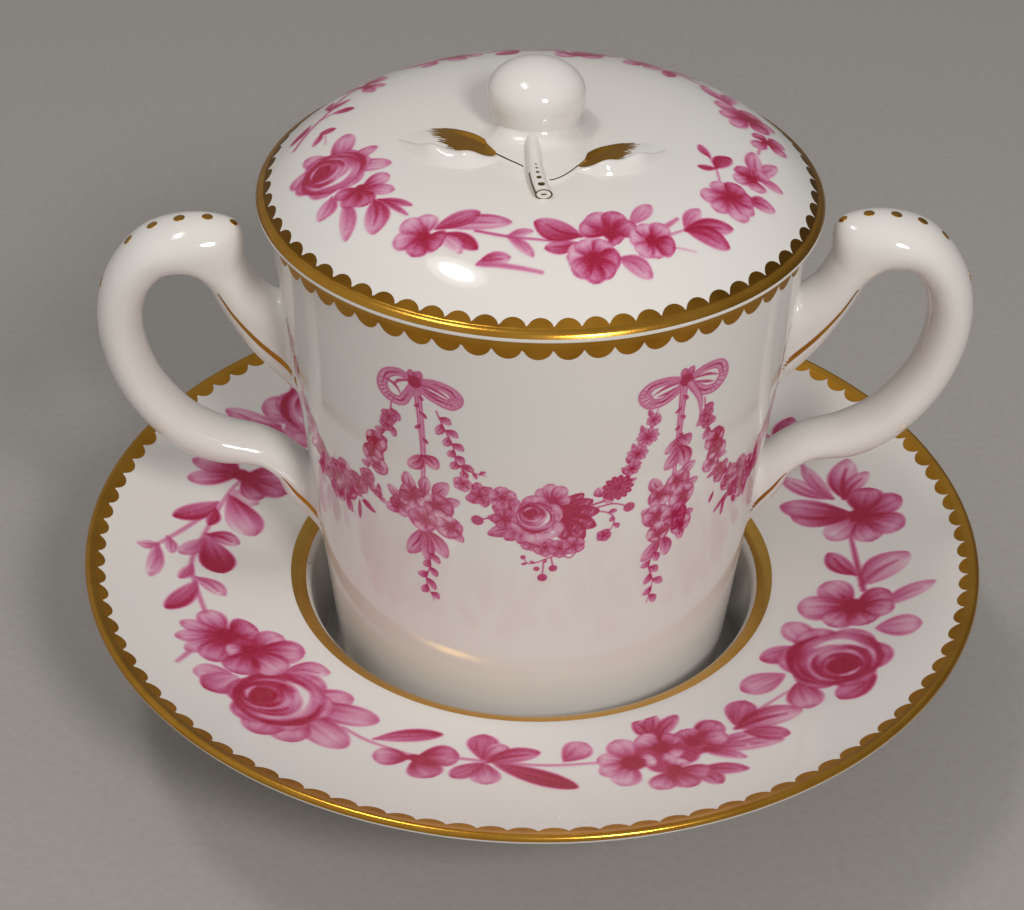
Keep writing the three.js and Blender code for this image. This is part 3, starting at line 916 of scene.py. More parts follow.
def scalloped_band_group():
    """Geometry nodes for a gilt band: a grid laid along a profile, round the axis, with a lobed far edge."""
    tree, sockets = node_group(
        "scalloped_gilding",
        {
            "Profile": "NodeSocketObject",
            "Lobes": "NodeSocketInt",
            "Plain width": "NodeSocketFloat",
            "Lobe depth": "NodeSocketFloat",
            "Roundness": "NodeSocketFloat",
            "Bead": "NodeSocketFloat",
            "Lift": "NodeSocketFloat",
            "Finish": "NodeSocketMaterial",
        },
    )
    given = add(tree, "NodeGroupInput").outputs
    steps_per_lobe = 14.0
    rows = 26
    plain_rows = 0.64
    matt_blend = 0.12
    columns = add(tree, "ShaderNodeMath", {0: given["Lobes"], 1: steps_per_lobe}, operation="MULTIPLY")
    grid = add(
        tree,
        "GeometryNodeMeshGrid",
        {"Size X": 1.0, "Size Y": 1.0, "Vertices X": columns.outputs[0], "Vertices Y": rows},
    )
    place = add(tree, "ShaderNodeSeparateXYZ", {"Vector": grid.outputs["UV Map"]})
    lobe = add(tree, "ShaderNodeMath", {0: place.outputs["X"], 1: given["Lobes"]}, operation="MULTIPLY")
    phase = add(tree, "ShaderNodeMath", {0: lobe.outputs[0]}, operation="FRACT")
    swing = add(tree, "ShaderNodeMath", {0: phase.outputs[0], 1: 2.0, 2: -1.0}, operation="MULTIPLY_ADD")
    square = add(tree, "ShaderNodeMath", {0: swing.outputs[0], 1: swing.outputs[0]}, operation="MULTIPLY")
    bulge = add(tree, "ShaderNodeMath", {0: 1.0, 1: square.outputs[0]}, operation="SUBTRACT")
    arch = add(tree, "ShaderNodeMath", {0: bulge.outputs[0], 1: given["Roundness"]}, operation="POWER")
    plain_share = add(tree, "ShaderNodeMapRange", {"Value": place.outputs["Y"], "From Max": plain_rows})
    lobe_share = add(tree, "ShaderNodeMapRange", {"Value": place.outputs["Y"], "From Min": plain_rows})
    plain = plain_share.outputs["Result"]
    lobed = lobe_share.outputs["Result"]
    plain_part = add(tree, "ShaderNodeMath", {0: plain, 1: given["Plain width"]}, operation="MULTIPLY")
    reach = {0: arch.outputs[0], 1: given["Lobe depth"]}
    lobe_reach = add(tree, "ShaderNodeMath", reach, operation="MULTIPLY")
    run = {0: lobed, 1: lobe_reach.outputs[0], 2: plain_part.outputs[0]}
    length = add(tree, "ShaderNodeMath", run, operation="MULTIPLY_ADD")
    half_turn = add(tree, "ShaderNodeMath", {0: plain, 1: math.pi}, operation="MULTIPLY")
    round_bead = add(tree, "ShaderNodeMath", {0: half_turn.outputs[0]}, operation="SINE")
    rise = add(
        tree,
        "ShaderNodeMath",
        {0: round_bead.outputs[0], 1: given["Bead"], 2: given["Lift"]},
        operation="MULTIPLY_ADD",
    )
    outline = add(tree, "GeometryNodeObjectInfo", {"Object": given["Profile"]})
    sample = add(
        tree,
        "GeometryNodeSampleCurve",
        {"Curves": outline.outputs["Geometry"], "Length": length.outputs[0]},
        mode="LENGTH",
    )
    slope = add(tree, "ShaderNodeSeparateXYZ", {"Vector": sample.outputs["Tangent"]})
    down = add(tree, "ShaderNodeMath", {0: slope.outputs["X"], 1: -1.0}, operation="MULTIPLY")
    outward = add(tree, "ShaderNodeCombineXYZ", {"X": slope.outputs["Z"], "Z": down.outputs[0]})
    lifted = add(
        tree,
        "ShaderNodeVectorMath",
        {0: outward.outputs["Vector"], 1: rise.outputs[0], 2: sample.outputs["Position"]},
        operation="MULTIPLY_ADD",
    )
    angle = add(tree, "ShaderNodeMath", {0: place.outputs["X"], 1: 2 * math.pi}, operation="MULTIPLY")
    turned_point = add(
        tree,
        "ShaderNodeVectorRotate",
        {"Vector": lifted.outputs["Vector"], "Angle": angle.outputs[0]},
        rotation_type="Z_AXIS",
    )
    matt = add(tree, "ShaderNodeMapRange", {"Value": lobed, "From Max": matt_blend})
    named = add(
        tree,
        "GeometryNodeStoreNamedAttribute",
        {"Geometry": grid.outputs["Mesh"], "Name": "matt", "Value": matt.outputs["Result"]},
        data_type="FLOAT",
        domain="POINT",
    )
    laid = add(
        tree,
        "GeometryNodeSetPosition",
        {"Geometry": named.outputs["Geometry"], "Position": turned_point.outputs["Vector"]},
    )
    seam = {"Geometry": laid.outputs["Geometry"], "Distance": 1e-6}
    closed = add(tree, "GeometryNodeMergeByDistance", seam)
    end_group(tree, closed.outputs["Geometry"], given["Finish"])
    return tree, sockets


def dots_group():
    """Geometry nodes that set a low round dot on every point, facing the point's own way."""
    tree, sockets = node_group(
        "gilt_dots",
        {"Points": "NodeSocketObject", "Rise": "NodeSocketFloat", "Finish": "NodeSocketMaterial"},
    )
    given = add(tree, "NodeGroupInput").outputs
    places = add(tree, "GeometryNodeObjectInfo", {"Object": given["Points"]})
    across = add(tree, "GeometryNodeInputNamedAttribute", {"Name": "dot_radius"}, data_type="FLOAT")
    facing = add(tree, "GeometryNodeInputNamedAttribute", {"Name": "dot_facing"}, data_type="FLOAT_VECTOR")
    ball = add(tree, "GeometryNodeMeshUVSphere", {"Segments": 20, "Rings": 10, "Radius": 1.0})
    aim = add(tree, "FunctionNodeAlignRotationToVector", {"Vector": facing.outputs["Attribute"]}, axis="Z")
    size = add(
        tree,
        "ShaderNodeCombineXYZ",
        {"X": across.outputs["Attribute"], "Y": across.outputs["Attribute"], "Z": given["Rise"]},
    )
    set_on = add(
        tree,
        "GeometryNodeInstanceOnPoints",
        {
            "Points": places.outputs["Geometry"],
            "Instance": ball.outputs["Mesh"],
            "Rotation": aim.outputs["Rotation"],
            "Scale": size.outputs["Vector"],
        },
    )
    end_group(tree, set_on.outputs["Instances"], given["Finish"])
    return tree, sockets


def grown(name, group, values):
    """A plain mesh object from a geometry nodes group, with the values of its named inputs."""
    tree, sockets = group
    host = placed(name + "_host", bpy.data.meshes.new(name + "_host"))
    modifier = host.modifiers.new("nodes", "NODES")
    modifier.node_group = tree
    for title, value in values.items():
        modifier[sockets[title]] = value
    bpy.context.view_layer.update()
    graph = bpy.context.evaluated_depsgraph_get()
    mesh = bpy.data.meshes.new_from_object(host.evaluated_get(graph), depsgraph=graph)
    mesh.name = name
    bpy.data.objects.remove(host)
    return placed(name, mesh)


def profile_curve(profile):
    """A profile as a curve in the upright plane through the axis."""
    data = bpy.data.curves.new("gilt_profile", "CURVE")
    data.dimensions = "3D"
    line = data.splines.new("POLY")
    line.points.add(len(profile) - 1)
    for point, (radius, height) in zip(line.points, profile):
        point.co = (radius * MM, 0, height * MM, 1)
    return placed("gilt_profile", data)


BAND_GROUP = scalloped_band_group()
DOTS_GROUP = dots_group()


def scalloped_band(name, profile, lobes, plain, depth, roundness=0.55, bead=0, lift=SKIN_LIFT, gold=GILDING):
    """A gilt band along a profile, in millimetres from the profile's start."""
    line = profile_curve(profile)
    made = grown(
        name,
        BAND_GROUP,
        {
            "Profile": line,
            "Lobes": lobes,
            "Plain width": plain * MM,
            "Lobe depth": depth * MM,
            "Roundness": roundness,
            "Bead": bead * MM,
            "Lift": lift * MM,
            "Finish": gold,
        },
    )
    bpy.data.objects.remove(line)
    face = made.data.polygons[0]
    tangent_up = Vector((face.center.x, face.center.y, 0)).normalized() + Vector((0, 0, 0.5))
    if face.normal.dot(tangent_up) < 0:
        made.data.flip_normals()
    return made


LID_LOBES = 68
CUP_LOBES = 60
SAUCER_LOBES = 102
WELL_STEPS = 60
WELL_GILT_RADIUS = 42.5


def make_bands():
    """Gilt bands: lid's edge, cup's rim, saucer's rim and the well's lip."""
    lid_edge = dome_profile(steps=200)
    rim_start = LID_SEAT - 0.25
    rim_end = LID_SEAT - 8
    cup_rim = straight((CUP_RIM_RADIUS, rim_start), (cup_wall_radius(rim_end), rim_end), steps=20)
    rim = rim_profile(steps=60)
    saucer_rim = joined(rim[rim[:, 0].argmax():], plate_profile(steps=200))
    well_lip = lip_profile(steps=120)
    well_lip = well_lip[well_lip[:, 0] < WELL_GILT_RADIUS]
    lid = scalloped_band(
        "gilding_lid_edge", lid_edge, LID_LOBES, plain=1.5, depth=1.8, bead=0.2, gold=LID_SHADED_GILDING
    )
    cup = scalloped_band("gilding_cup_rim", cup_rim, CUP_LOBES, plain=1.5, depth=2.3, lift=-SKIN_LIFT)
    saucer = scalloped_band(
        "gilding_saucer_rim", saucer_rim, SAUCER_LOBES, plain=2.3, depth=1.8, roundness=0.6
    )
    well = scalloped_band(
        "gilding_well_lip", well_lip, WELL_STEPS, plain=2.9, depth=0, roundness=1.0, gold=WELL_SHEEN_GILDING
    )
    return [(lid, "lid"), (cup, "cup"), (saucer, "saucer"), (well, "saucer")]


# Gilt dots down the back of a handle: share of the way along it, and the dot's radius.
HANDLE_DOTS = [
    (0.25, 0.75), (0.292, 0.9), (0.339, 0.95), (0.388, 0.95), (0.427, 0.92), (0.495, 0.9), (0.55, 0.8),
]
DOT_STEP = 0.002


def gilt_dots(name, places, facings, radii, rise=0.12, gold=GILDING):
    """Low round gilt dots, with the ways they face and their radii."""
    mesh = bpy.data.meshes.new(name + "_places")
    mesh.from_pydata((np.asarray(places) * MM).tolist(), [], [])
    store(mesh, "dot_radius", np.asarray(radii) * MM)
    facing = mesh.attributes.new("dot_facing", "FLOAT_VECTOR", "POINT")
    facing.data.foreach_set("vector", np.asarray(facings, float).ravel())
    points = placed(name + "_places", mesh)
    made = grown(name, DOTS_GROUP, {"Points": points, "Rise": rise * MM, "Finish": gold})
    bpy.data.objects.remove(points)
    return made


def make_handle_dots(side):
    """Gilt dots down the back of a handle, each facing straight out of the clay."""
    shares, radii = np.transpose(HANDLE_DOTS)
    back = np.full_like(shares, math.pi)
    along = handle_surface(shares + DOT_STEP, back) - handle_surface(shares - DOT_STEP, back)
    facings = unit(np.cross(along, (0, 1, 0)))
    turn = SIDE_TURNS[side]
    return gilt_dots(f"gilding_dots_{side}", handle_surface(shares, back) * turn, facings * turn, radii)


def gilt_strips(name, strips, gold=GILDING):
    """Thin gilt strips as one mesh; each is a grid of points and a way that its face looks."""
    points, faces = [], []
    for grid, outward in strips:
        rows, columns = grid.shape[:2]
        normal = np.cross(grid[1, 0] - grid[0, 0], grid[0, 1] - grid[0, 0])
        grid = grid if normal @ np.asarray(outward, float) < 0 else grid[::-1]
        faces += (sheet_corners(rows, columns).reshape(-1, 4) + len(points)).tolist()
        points += grid.reshape(-1, 3).tolist()
    return piece(name, points, faces, gold)


# Gilt lines on a handle's roots: where each starts and ends along it, its widths there, its place round it.
HANDLE_LINE_STEPS = 60
HANDLE_LINES = [((0.008, 1.3), (0.165, 0.28), 1.12), ((0.985, 1.2), (0.88, 0.28), 1.72)]


def make_handle_lines(side):
    """Tapered gilt lines on both faces of a handle, along the loop's edge at its roots."""
    flip = SIDE_TURNS[side]
    strips = []
    for (tip, tip_width), (end, end_width), place in HANDLE_LINES:
        for face in (-1, 1):
            shares = np.linspace(tip, end, HANDLE_LINE_STEPS)
            share, across = crossed(shares, np.linspace(-1, 1, 5))
            width = np.linspace(tip_width, end_width, HANDLE_LINE_STEPS)[:, None] / 2
            size = np.interp(share, HANDLE_SHARES, HANDLE_SIZES["inner"])
            turn = face * (place + across * width / size)
            strips.append((handle_surface(share, turn, SKIN_LIFT) * flip, np.array((0, face, 0)) * flip))
    made = gilt_strips(f"gilding_lines_{side}", strips)
    store(made.data, "matt", np.ones(len(made.data.vertices)))
    return made


# Gold brushed on by hand lies a little higher than the bands.
LEAF_GOLD_LIFT = 0.06
FINE_LINE_LIFT = 0.05


def make_leaf_gold(side):
    """Gold brushed into a leaf's hollow: pointed by the stalk, feathered by the bristles at its far end."""
    dice = np.random.default_rng(seed=3)
    rows, steps = 120, 40
    place = np.linspace(-1, 1, rows)
    across = 0.25 + 0.67 * place
    bristles = np.repeat(dice.uniform(-0.06, 0.06, rows // 3), 3) + dice.uniform(-0.02, 0.02, rows)
    reach = 0.66 + 0.15 * place - 0.1 * np.abs(place) ** 4 + bristles
    start = 0.1 + 0.12 * np.abs(place + 0.3) ** 1.6
    along = start[:, None] + (reach - start)[:, None] * np.linspace(0, 1, steps)
    grid = leaf_surface(side, along, np.broadcast_to(across[:, None], along.shape))
    x, y, height = np.moveaxis(grid, -1, 0)
    grid[..., 2] = np.maximum(height, dome_height(x, y) + calyx_rise(x, y))
    return gilt_strips(f"gilding_leaf_{side}", [(grid + (0, 0, LEAF_GOLD_LIFT), (0, 0, 1))])


# Gilt touches on the stalk: share of the way along it, and the dot's radius.
STALK_DOTS = [(0.615, 0.16), (0.675, 0.22), (0.742, 0.3), (0.82, 0.4), (0.92, 0.54)]
STALK_DOT_RISE = 0.08
# Fine lines on the calyx's lip: where each starts and ends in degrees to the right of the front, their
# width, and their share of the way from the bud to its edge.
LIP_LINES = ((-39, -10), (4, 23))
FINE_LINE = 0.16
FINE_LINE_SHARE = 0.91
# Line on the stalk's side: where it starts and ends along it, and its edges' turns round it.
STALK_LINE = (0.7, 1)
STALK_LINE_EDGES = (0.15, 0.55)
# Rings on the stalk's cut end: their inner and outer shares of its outline, and how much of its height.
CUT_RINGS = ((0.8, 1.0, 1.0), (0.05, 0.34, 0.45))


def make_stalk_gilding():
    """Fine gilt lines on the calyx's lip, the stalk's side and its cut end."""
    strips = []
    for start, end in LIP_LINES:
        angle, place = crossed(np.linspace(start, end, 40), np.linspace(-1, 1, 4))
        begin, reach, _ = calyx_bounds(angle)
        share = FINE_LINE_SHARE + place * FINE_LINE / 2 / (reach - begin)
        strips.append((calyx_surface(angle, share) + (0, 0, FINE_LINE_LIFT), (0, 0, 1)))
    share, turn = crossed(np.linspace(*STALK_LINE, 40), np.linspace(*STALK_LINE_EDGES, 5))
    strips.append((stalk_surface(share, turn, SKIN_LIFT), (-1, 0, 0.2)))
    end_rim = stalk_surface(np.ones(61), np.linspace(0, 2 * math.pi, 61))
    centre = end_rim[:-1].mean(axis=0)
    forward = np.array((0, -SKIN_LIFT, 0))
    for inner, outer, tall in CUT_RINGS:
        spokes = (end_rim - centre) * (1, 1, tall)
        ring = np.stack([centre + spokes * share for share in (inner, outer)], axis=1)
        strips.append((ring + forward, (0, -1, 0)))
    return gilt_strips("gilding_stalk_lines", strips, STALK_SHADED_GILDING)


def make_stalk_dots():
    """Gilt touches along the top of the stalk, larger towards its cut end."""
    shares, radii = np.transpose(STALK_DOTS)
    places = stalk_surface(shares, np.full_like(shares, math.pi / 2))
    facings = [(0, 0, 1)] * len(shares)
    return gilt_dots("gilding_stalk_dots", places, facings, radii, STALK_DOT_RISE, STALK_SHADED_GILDING)


# Painting: pink enamel brushed on the glaze in petals, leaves and thin lines

PALE, MID, DEEP, DARK = 0.28, 0.52, 0.78, 0.98
LEAF_FULLNESS = 1.3
SPRIG_TURN = 0.75
# How fully a petal and a line hide the pink below, and how strong the brush marks in a petal are.
PETAL_COVER = 0.96
LINE_COVER = 0.95
BRUSH_MARKS = 0.6
# Steps along a line, the least half width of a stroke, and the pink below which the glaze stays bare.
LINE_STEP = 0.12
LEAST_HALF = 0.05
BARE_PINK = 0.008


def polar(angle, radius):
    """A place on the lid or the saucer seen from above: degrees to the right of the front, millimetres."""
    turn = math.radians(angle)
    return np.array([radius * math.sin(turn), -radius * math.cos(turn)])


def heading(angle):
    """A step of length 1 at an angle on a surface laid flat."""
    return np.stack([np.cos(angle), np.sin(angle)], axis=-1)


# Cups of a rose from its edge to its heart: size, share of the way to the heart, turn, and the tones
# at its root and lip.
ROSE_CUPS = [
    (0.9, 0.0, 0.5, 0.6, 0.34),
    (0.78, 0.28, -0.8, 0.64, 0.1),
    (0.65, 0.52, 0.7, 0.68, 0.2),
    (0.53, 0.74, -0.7, 0.74, 0.24),
    (0.42, 0.95, 0.9, 0.82, 0.56),
    (0.3, 1.0, -0.3, 1.0, 0.95),
]
# Brush arcs laid over the cups: distance from the heart, turns where each starts and ends, width, tone.
ROSE_ARCS = [
    (0.84, -1.6, 0.1, 0.22, 0.94),
    (0.62, -0.2, 1.4, 0.22, 0.03),
    (0.8, 1.4, 2.7, 0.14, 0.86),
    (0.5, 0.8, 2.4, 0.1, 0.88),
    (0.46, -1.7, -0.5, 0.09, 0.9),
    (0.42, 2.6, 3.6, 0.1, 0.16),
]


class Painting:
    """Pink on one surface: its points laid flat in millimetres, and how much pink lies on each.

    Flowers, sprays and stems take places as the surface has them, which the painting lays flat.
    """

    def __init__(self, flat, place, edge, streak, seed):
        self.flat = flat
        self.place = place
        self.pink = np.zeros(len(flat))
        self.edge = edge
        self.streak = streak
        self.dice = np.random.default_rng(seed)

    def near(self, points, reach):
        """Which points of the surface lie about a stroke's own points."""
        low, high = np.min(points, axis=0) - reach, np.max(points, axis=0) + reach
        return np.flatnonzero(np.all((self.flat > low) & (self.flat < high), axis=1))

    def lay(self, index, cover, tone):
        """Lays a stroke over the pink that is there."""
        self.pink[index] += (np.clip(tone, 0, 1) - self.pink[index]) * cover

    def petal(
        self, base, tip, width, tones=(DEEP, PALE), belly=1.35, point=0.55, rim=0.22, side=0.0, bend=0.0
    ):
        """A petal from its base to its tip: tones at both, a darker rim, one side heavier, and streaks."""
        base, tip = np.array(base, float), np.array(tip, float)
        length = np.linalg.norm(tip - base)
        ahead = (tip - base) / length
        index = self.near([base, tip], width)
        local = self.flat[index] - base
        run = local @ ahead
        along = np.clip(run / length, 0, 1)
        across = local @ np.array([-ahead[1], ahead[0]]) - bend * width * np.sin(math.pi * along)
        half = width / 2 * np.sin(math.pi * along ** belly) ** point
        gap = half - np.hypot(across, run - along * length)
        share = np.clip(across / np.maximum(half, LEAST_HALF), -1, 1)
        spread, shift = self.dice.uniform(6, 10), self.dice.uniform(0, 6)
        broad = np.sin(share * spread + shift + 2 * along)
        fine = np.sin(share * spread * 1.7 - shift - 3 * along)
        streaks = BRUSH_MARKS * self.streak * (broad + 0.7 * fine) * np.sin(math.pi * along)
        tone = tones[0] + (tones[1] - tones[0]) * soft_step(along * 1.1) + side * share + streaks
        outline = np.maximum(np.abs(share) ** 3, soft_step((along - 0.76) / 0.24))
        self.lay(index, PETAL_COVER * soft_step(gap / self.edge + 0.4), tone + rim * outline)

    def leaf(self, base, tip, width, tones=(DEEP, MID), side=0.2, bend=0.12):
        """A pointed leaf with a dark vein, heavier on one side."""
        base, tip = np.array(base, float), np.array(tip, float)
        self.petal(base, tip, width, tones, belly=1.16, point=0.58, rim=0.24, side=side, bend=bend)
        across = np.array([base[1] - tip[1], tip[0] - base[0]]) / np.linalg.norm(tip - base)
        middle = base * 0.6 + tip * 0.4 + across * bend * width * 0.9
        end = base * 0.25 + tip * 0.75
        vein = width * 0.13
        self.stroke([base, middle, end], (vein, vein, vein * 0.3), min(tones[0] + 0.15, 1))

    def stroke(self, points, widths, tone=DEEP, rim=0.0):
        """A line through points, with its width at the start, middle and end; a ribbon's rim is darker."""
        points = np.array(points, float)
        reach = np.linalg.norm(np.diff(points, axis=0), axis=1).sum()
        line = through(points, np.linspace(0, 1, int(reach / LINE_STEP) + 6))
        index = self.near(line, max(widths))
        apart = np.linalg.norm(self.flat[index][:, None] - line[None], axis=2)
        nearest = apart.argmin(axis=1)
        gap = apart[np.arange(len(index)), nearest]
        half = np.interp(nearest / (len(line) - 1), (0, 0.5, 1), widths) / 2
        share = np.clip(gap / np.maximum(half, LEAST_HALF), 0, 1)
        self.lay(index, LINE_COVER * soft_step((half - gap) / self.edge + 0.5), tone + rim * share ** 2)

    def dot(self, centre, radius, tone=DARK):
        """A round touch of the brush."""
        index = self.near([centre], radius + self.edge)
        gap = radius - np.linalg.norm(self.flat[index] - centre, axis=1)
        self.lay(index, LINE_COVER * soft_step(gap / self.edge + 0.5), tone)

    def dab(self, centre, radius, way, tones, rim):
        """A rounded petal seen from above: tones at its root and its outer edge, and a darker rim."""
        index = self.near([centre], radius + self.edge)
        local = (self.flat[index] - centre) / radius
        out = local @ way * self.dice.uniform(1.0, 1.18)
        side = local @ (-way[1], way[0])
        apart = np.hypot(out, side)
        streaks = BRUSH_MARKS * self.streak * np.sin(7 * side + 3 * out + self.dice.uniform(0, 6))
        tone = tones[0] + (tones[1] - tones[0]) * soft_step((out + 0.3) / 1.05) + streaks
        cover = soft_step((1 - apart) * radius / self.edge + 0.4)
        self.lay(index, PETAL_COVER * cover, tone + rim * np.clip(apart, 0, 1) ** 7)

    def rose(self, centre, size, heart, turn=0.0):
        """A full rose: loose outer petals, then cups that close in on a dark heart off its centre."""
        heart = np.array(heart, float)
        open_way = math.atan2(-heart[1], -heart[0])
        for k in range(6):
            angle = open_way + turn + 2 * math.pi * k / 6
            way = heading(angle)
            pale = 0.34 + 0.1 * (1 - math.cos(angle - open_way))
            self.dab(centre + size * 0.62 * way, size * 0.45, way, (0.86, pale), rim=0.3)
        for radius, share, swing, root, lip in ROSE_CUPS:
            angle = open_way + swing + self.dice.uniform(-0.35, 0.35)
            way = heading(angle)
            self.dab(centre + size * heart * share, size * radius, way, (root, lip), rim=0.36)
        hand = self.dice.choice((-1, 1))
        for radius, start, stop, width, tone in ROSE_ARCS:
            turns = open_way + hand * np.linspace(start, stop, 5)
            line = centre + size * (heart * (1 - radius) + radius * heading(turns))
            self.stroke(line, (0.03 * size, width * size, 0.03 * size), tone)

    def small_rose(self, centre, size):
        """A rose seen small: uneven petals and a dark curl at its heart."""
        start = self.dice.uniform(0, 2 * math.pi)
        heart = centre + size * 0.2 * heading(start)
        for k in range(5):
            angle = start + 2 * math.pi * k / 5 + self.dice.uniform(-0.25, 0.25)
            tip = centre + size * self.dice.uniform(0.9, 1.15) * heading(angle)
            lip = self.dice.choice((0.08, 0.2, 0.4, 0.7))
            self.petal(heart, tip, size, (DARK, lip), belly=1.5, point=0.45, rim=0.4)
        turns = start + np.linspace(0, 3.6, 5)
        curl = heart + size * 0.32 * heading(turns)
        self.stroke(curl, (0.04 * size, 0.28 * size, 0.04 * size), DARK)

    def flower(self, heart, petals, size=0.9):
        """Petals from a heart out to their tips: where each tip is, the petal's width and its tone."""
        heart = self.place(*heart)
        for across, out, width, tone in petals:
            way = self.place(across, out) - heart
            tones = (min(tone + 0.42, 1), tone * 0.48)
            ends = (heart + way * 0.08, heart + way * 1.08)
            self.petal(*ends, width * 1.3, tones, belly=1.5, point=0.5, rim=0.3, side=0.08)
        for across, out, width, _ in petals:
            way = (self.place(across, out) - heart) * self.dice.uniform(0.25, 0.5)
            self.stroke([heart, heart + way * 0.6, heart + way], (size, width * 0.24, self.edge * 0.3), 0.88)
        self.dot(heart, size, DARK)

    def spray(self, base, leaves, tones=(DEEP, MID), side=0.2):
        """Leaves from one base out to their tips: where each tip is, and the leaf's width."""
        for across, out, width in leaves:
            self.leaf(self.place(*base), self.place(across, out), width * LEAF_FULLNESS, tones, side)

    def stem(self, places, width, tone=DEEP):
        """A thin stem through places."""
        self.stroke([self.place(*point) for point in places], (width, width, width * 0.6), tone)

    def sprig(self, places, count, reach, width, tones=(DEEP, MID), stem=0.25):
        """A stem with leaves by turns on its left and its right."""
        points = np.array([self.place(*point) for point in places])
        line = through(points, np.linspace(0, 1, count + 2))
        self.stroke(line, (stem, stem, stem * 0.5), tones[0])
        ahead = unit(np.gradient(line, axis=0))
        for k in range(1, count + 1):
            turn = SPRIG_TURN if k % 2 else -SPRIG_TURN
            size = reach * self.dice.uniform(0.8, 1.2)
            aside = np.array([-ahead[k, 1], ahead[k, 0]])
            way = ahead[k] * math.cos(turn) + aside * math.sin(turn)
            self.leaf(line[k], line[k] + way * size, width, tones)

    def daisy(self, centre, size, count, tone, turn=0.0):
        """An open flower seen from the front: even petals about a dark heart."""
        for k in range(count):
            angle = turn + 2 * math.pi * k / count
            way = heading(angle)
            width = min(size * 5.2 / count, size)
            ends = (centre + way * size * 0.15, centre + way * size)
            self.petal(*ends, width, (DEEP, tone), belly=1.5, rim=0.4)
        self.dot(centre, size * 0.24, DARK)


def painted_skin(name, points, pink):
    """The painted part of a grid of points as a skin, with its pink on the points."""
    rows, columns = pink.shape
    wet = pink > BARE_PINK
    touched = wet[:-1, :-1] | wet[:-1, 1:] | wet[1:, :-1] | wet[1:, 1:]
    used, faces = np.unique(sheet_corners(rows, columns)[touched], return_inverse=True)
    faces = faces.reshape(-1, 4)
    made = piece(name, points.reshape(-1, 3)[used], faces.tolist(), ENAMEL)
    store(made.data, "pink", pink.ravel()[used])
    spread = np.stack([used % columns / (columns - 1), used // columns / (rows - 1)], axis=-1)
    made.data.uv_layers.new(name="OFBake").data.foreach_set("uv", spread[faces.ravel()].ravel())
    return made


def ring_grid(profile, inner, outer, spacing):
    """Points of a turned top between two radii, row by row from the outer one in."""
    radii = np.arange(outer, inner, -spacing)
    count = int(math.pi * (inner + outer) / spacing / 4) * 4
    angles = np.linspace(-math.pi, math.pi, count + 1)
    heights = np.interp(radii, profile[:, 0], profile[:, 1]) + SKIN_LIFT
    radius, angle = crossed(radii, angles)
    height = np.broadcast_to(heights[:, None], radius.shape)
    return np.stack([radius * np.sin(angle), -radius * np.cos(angle), height], axis=-1)


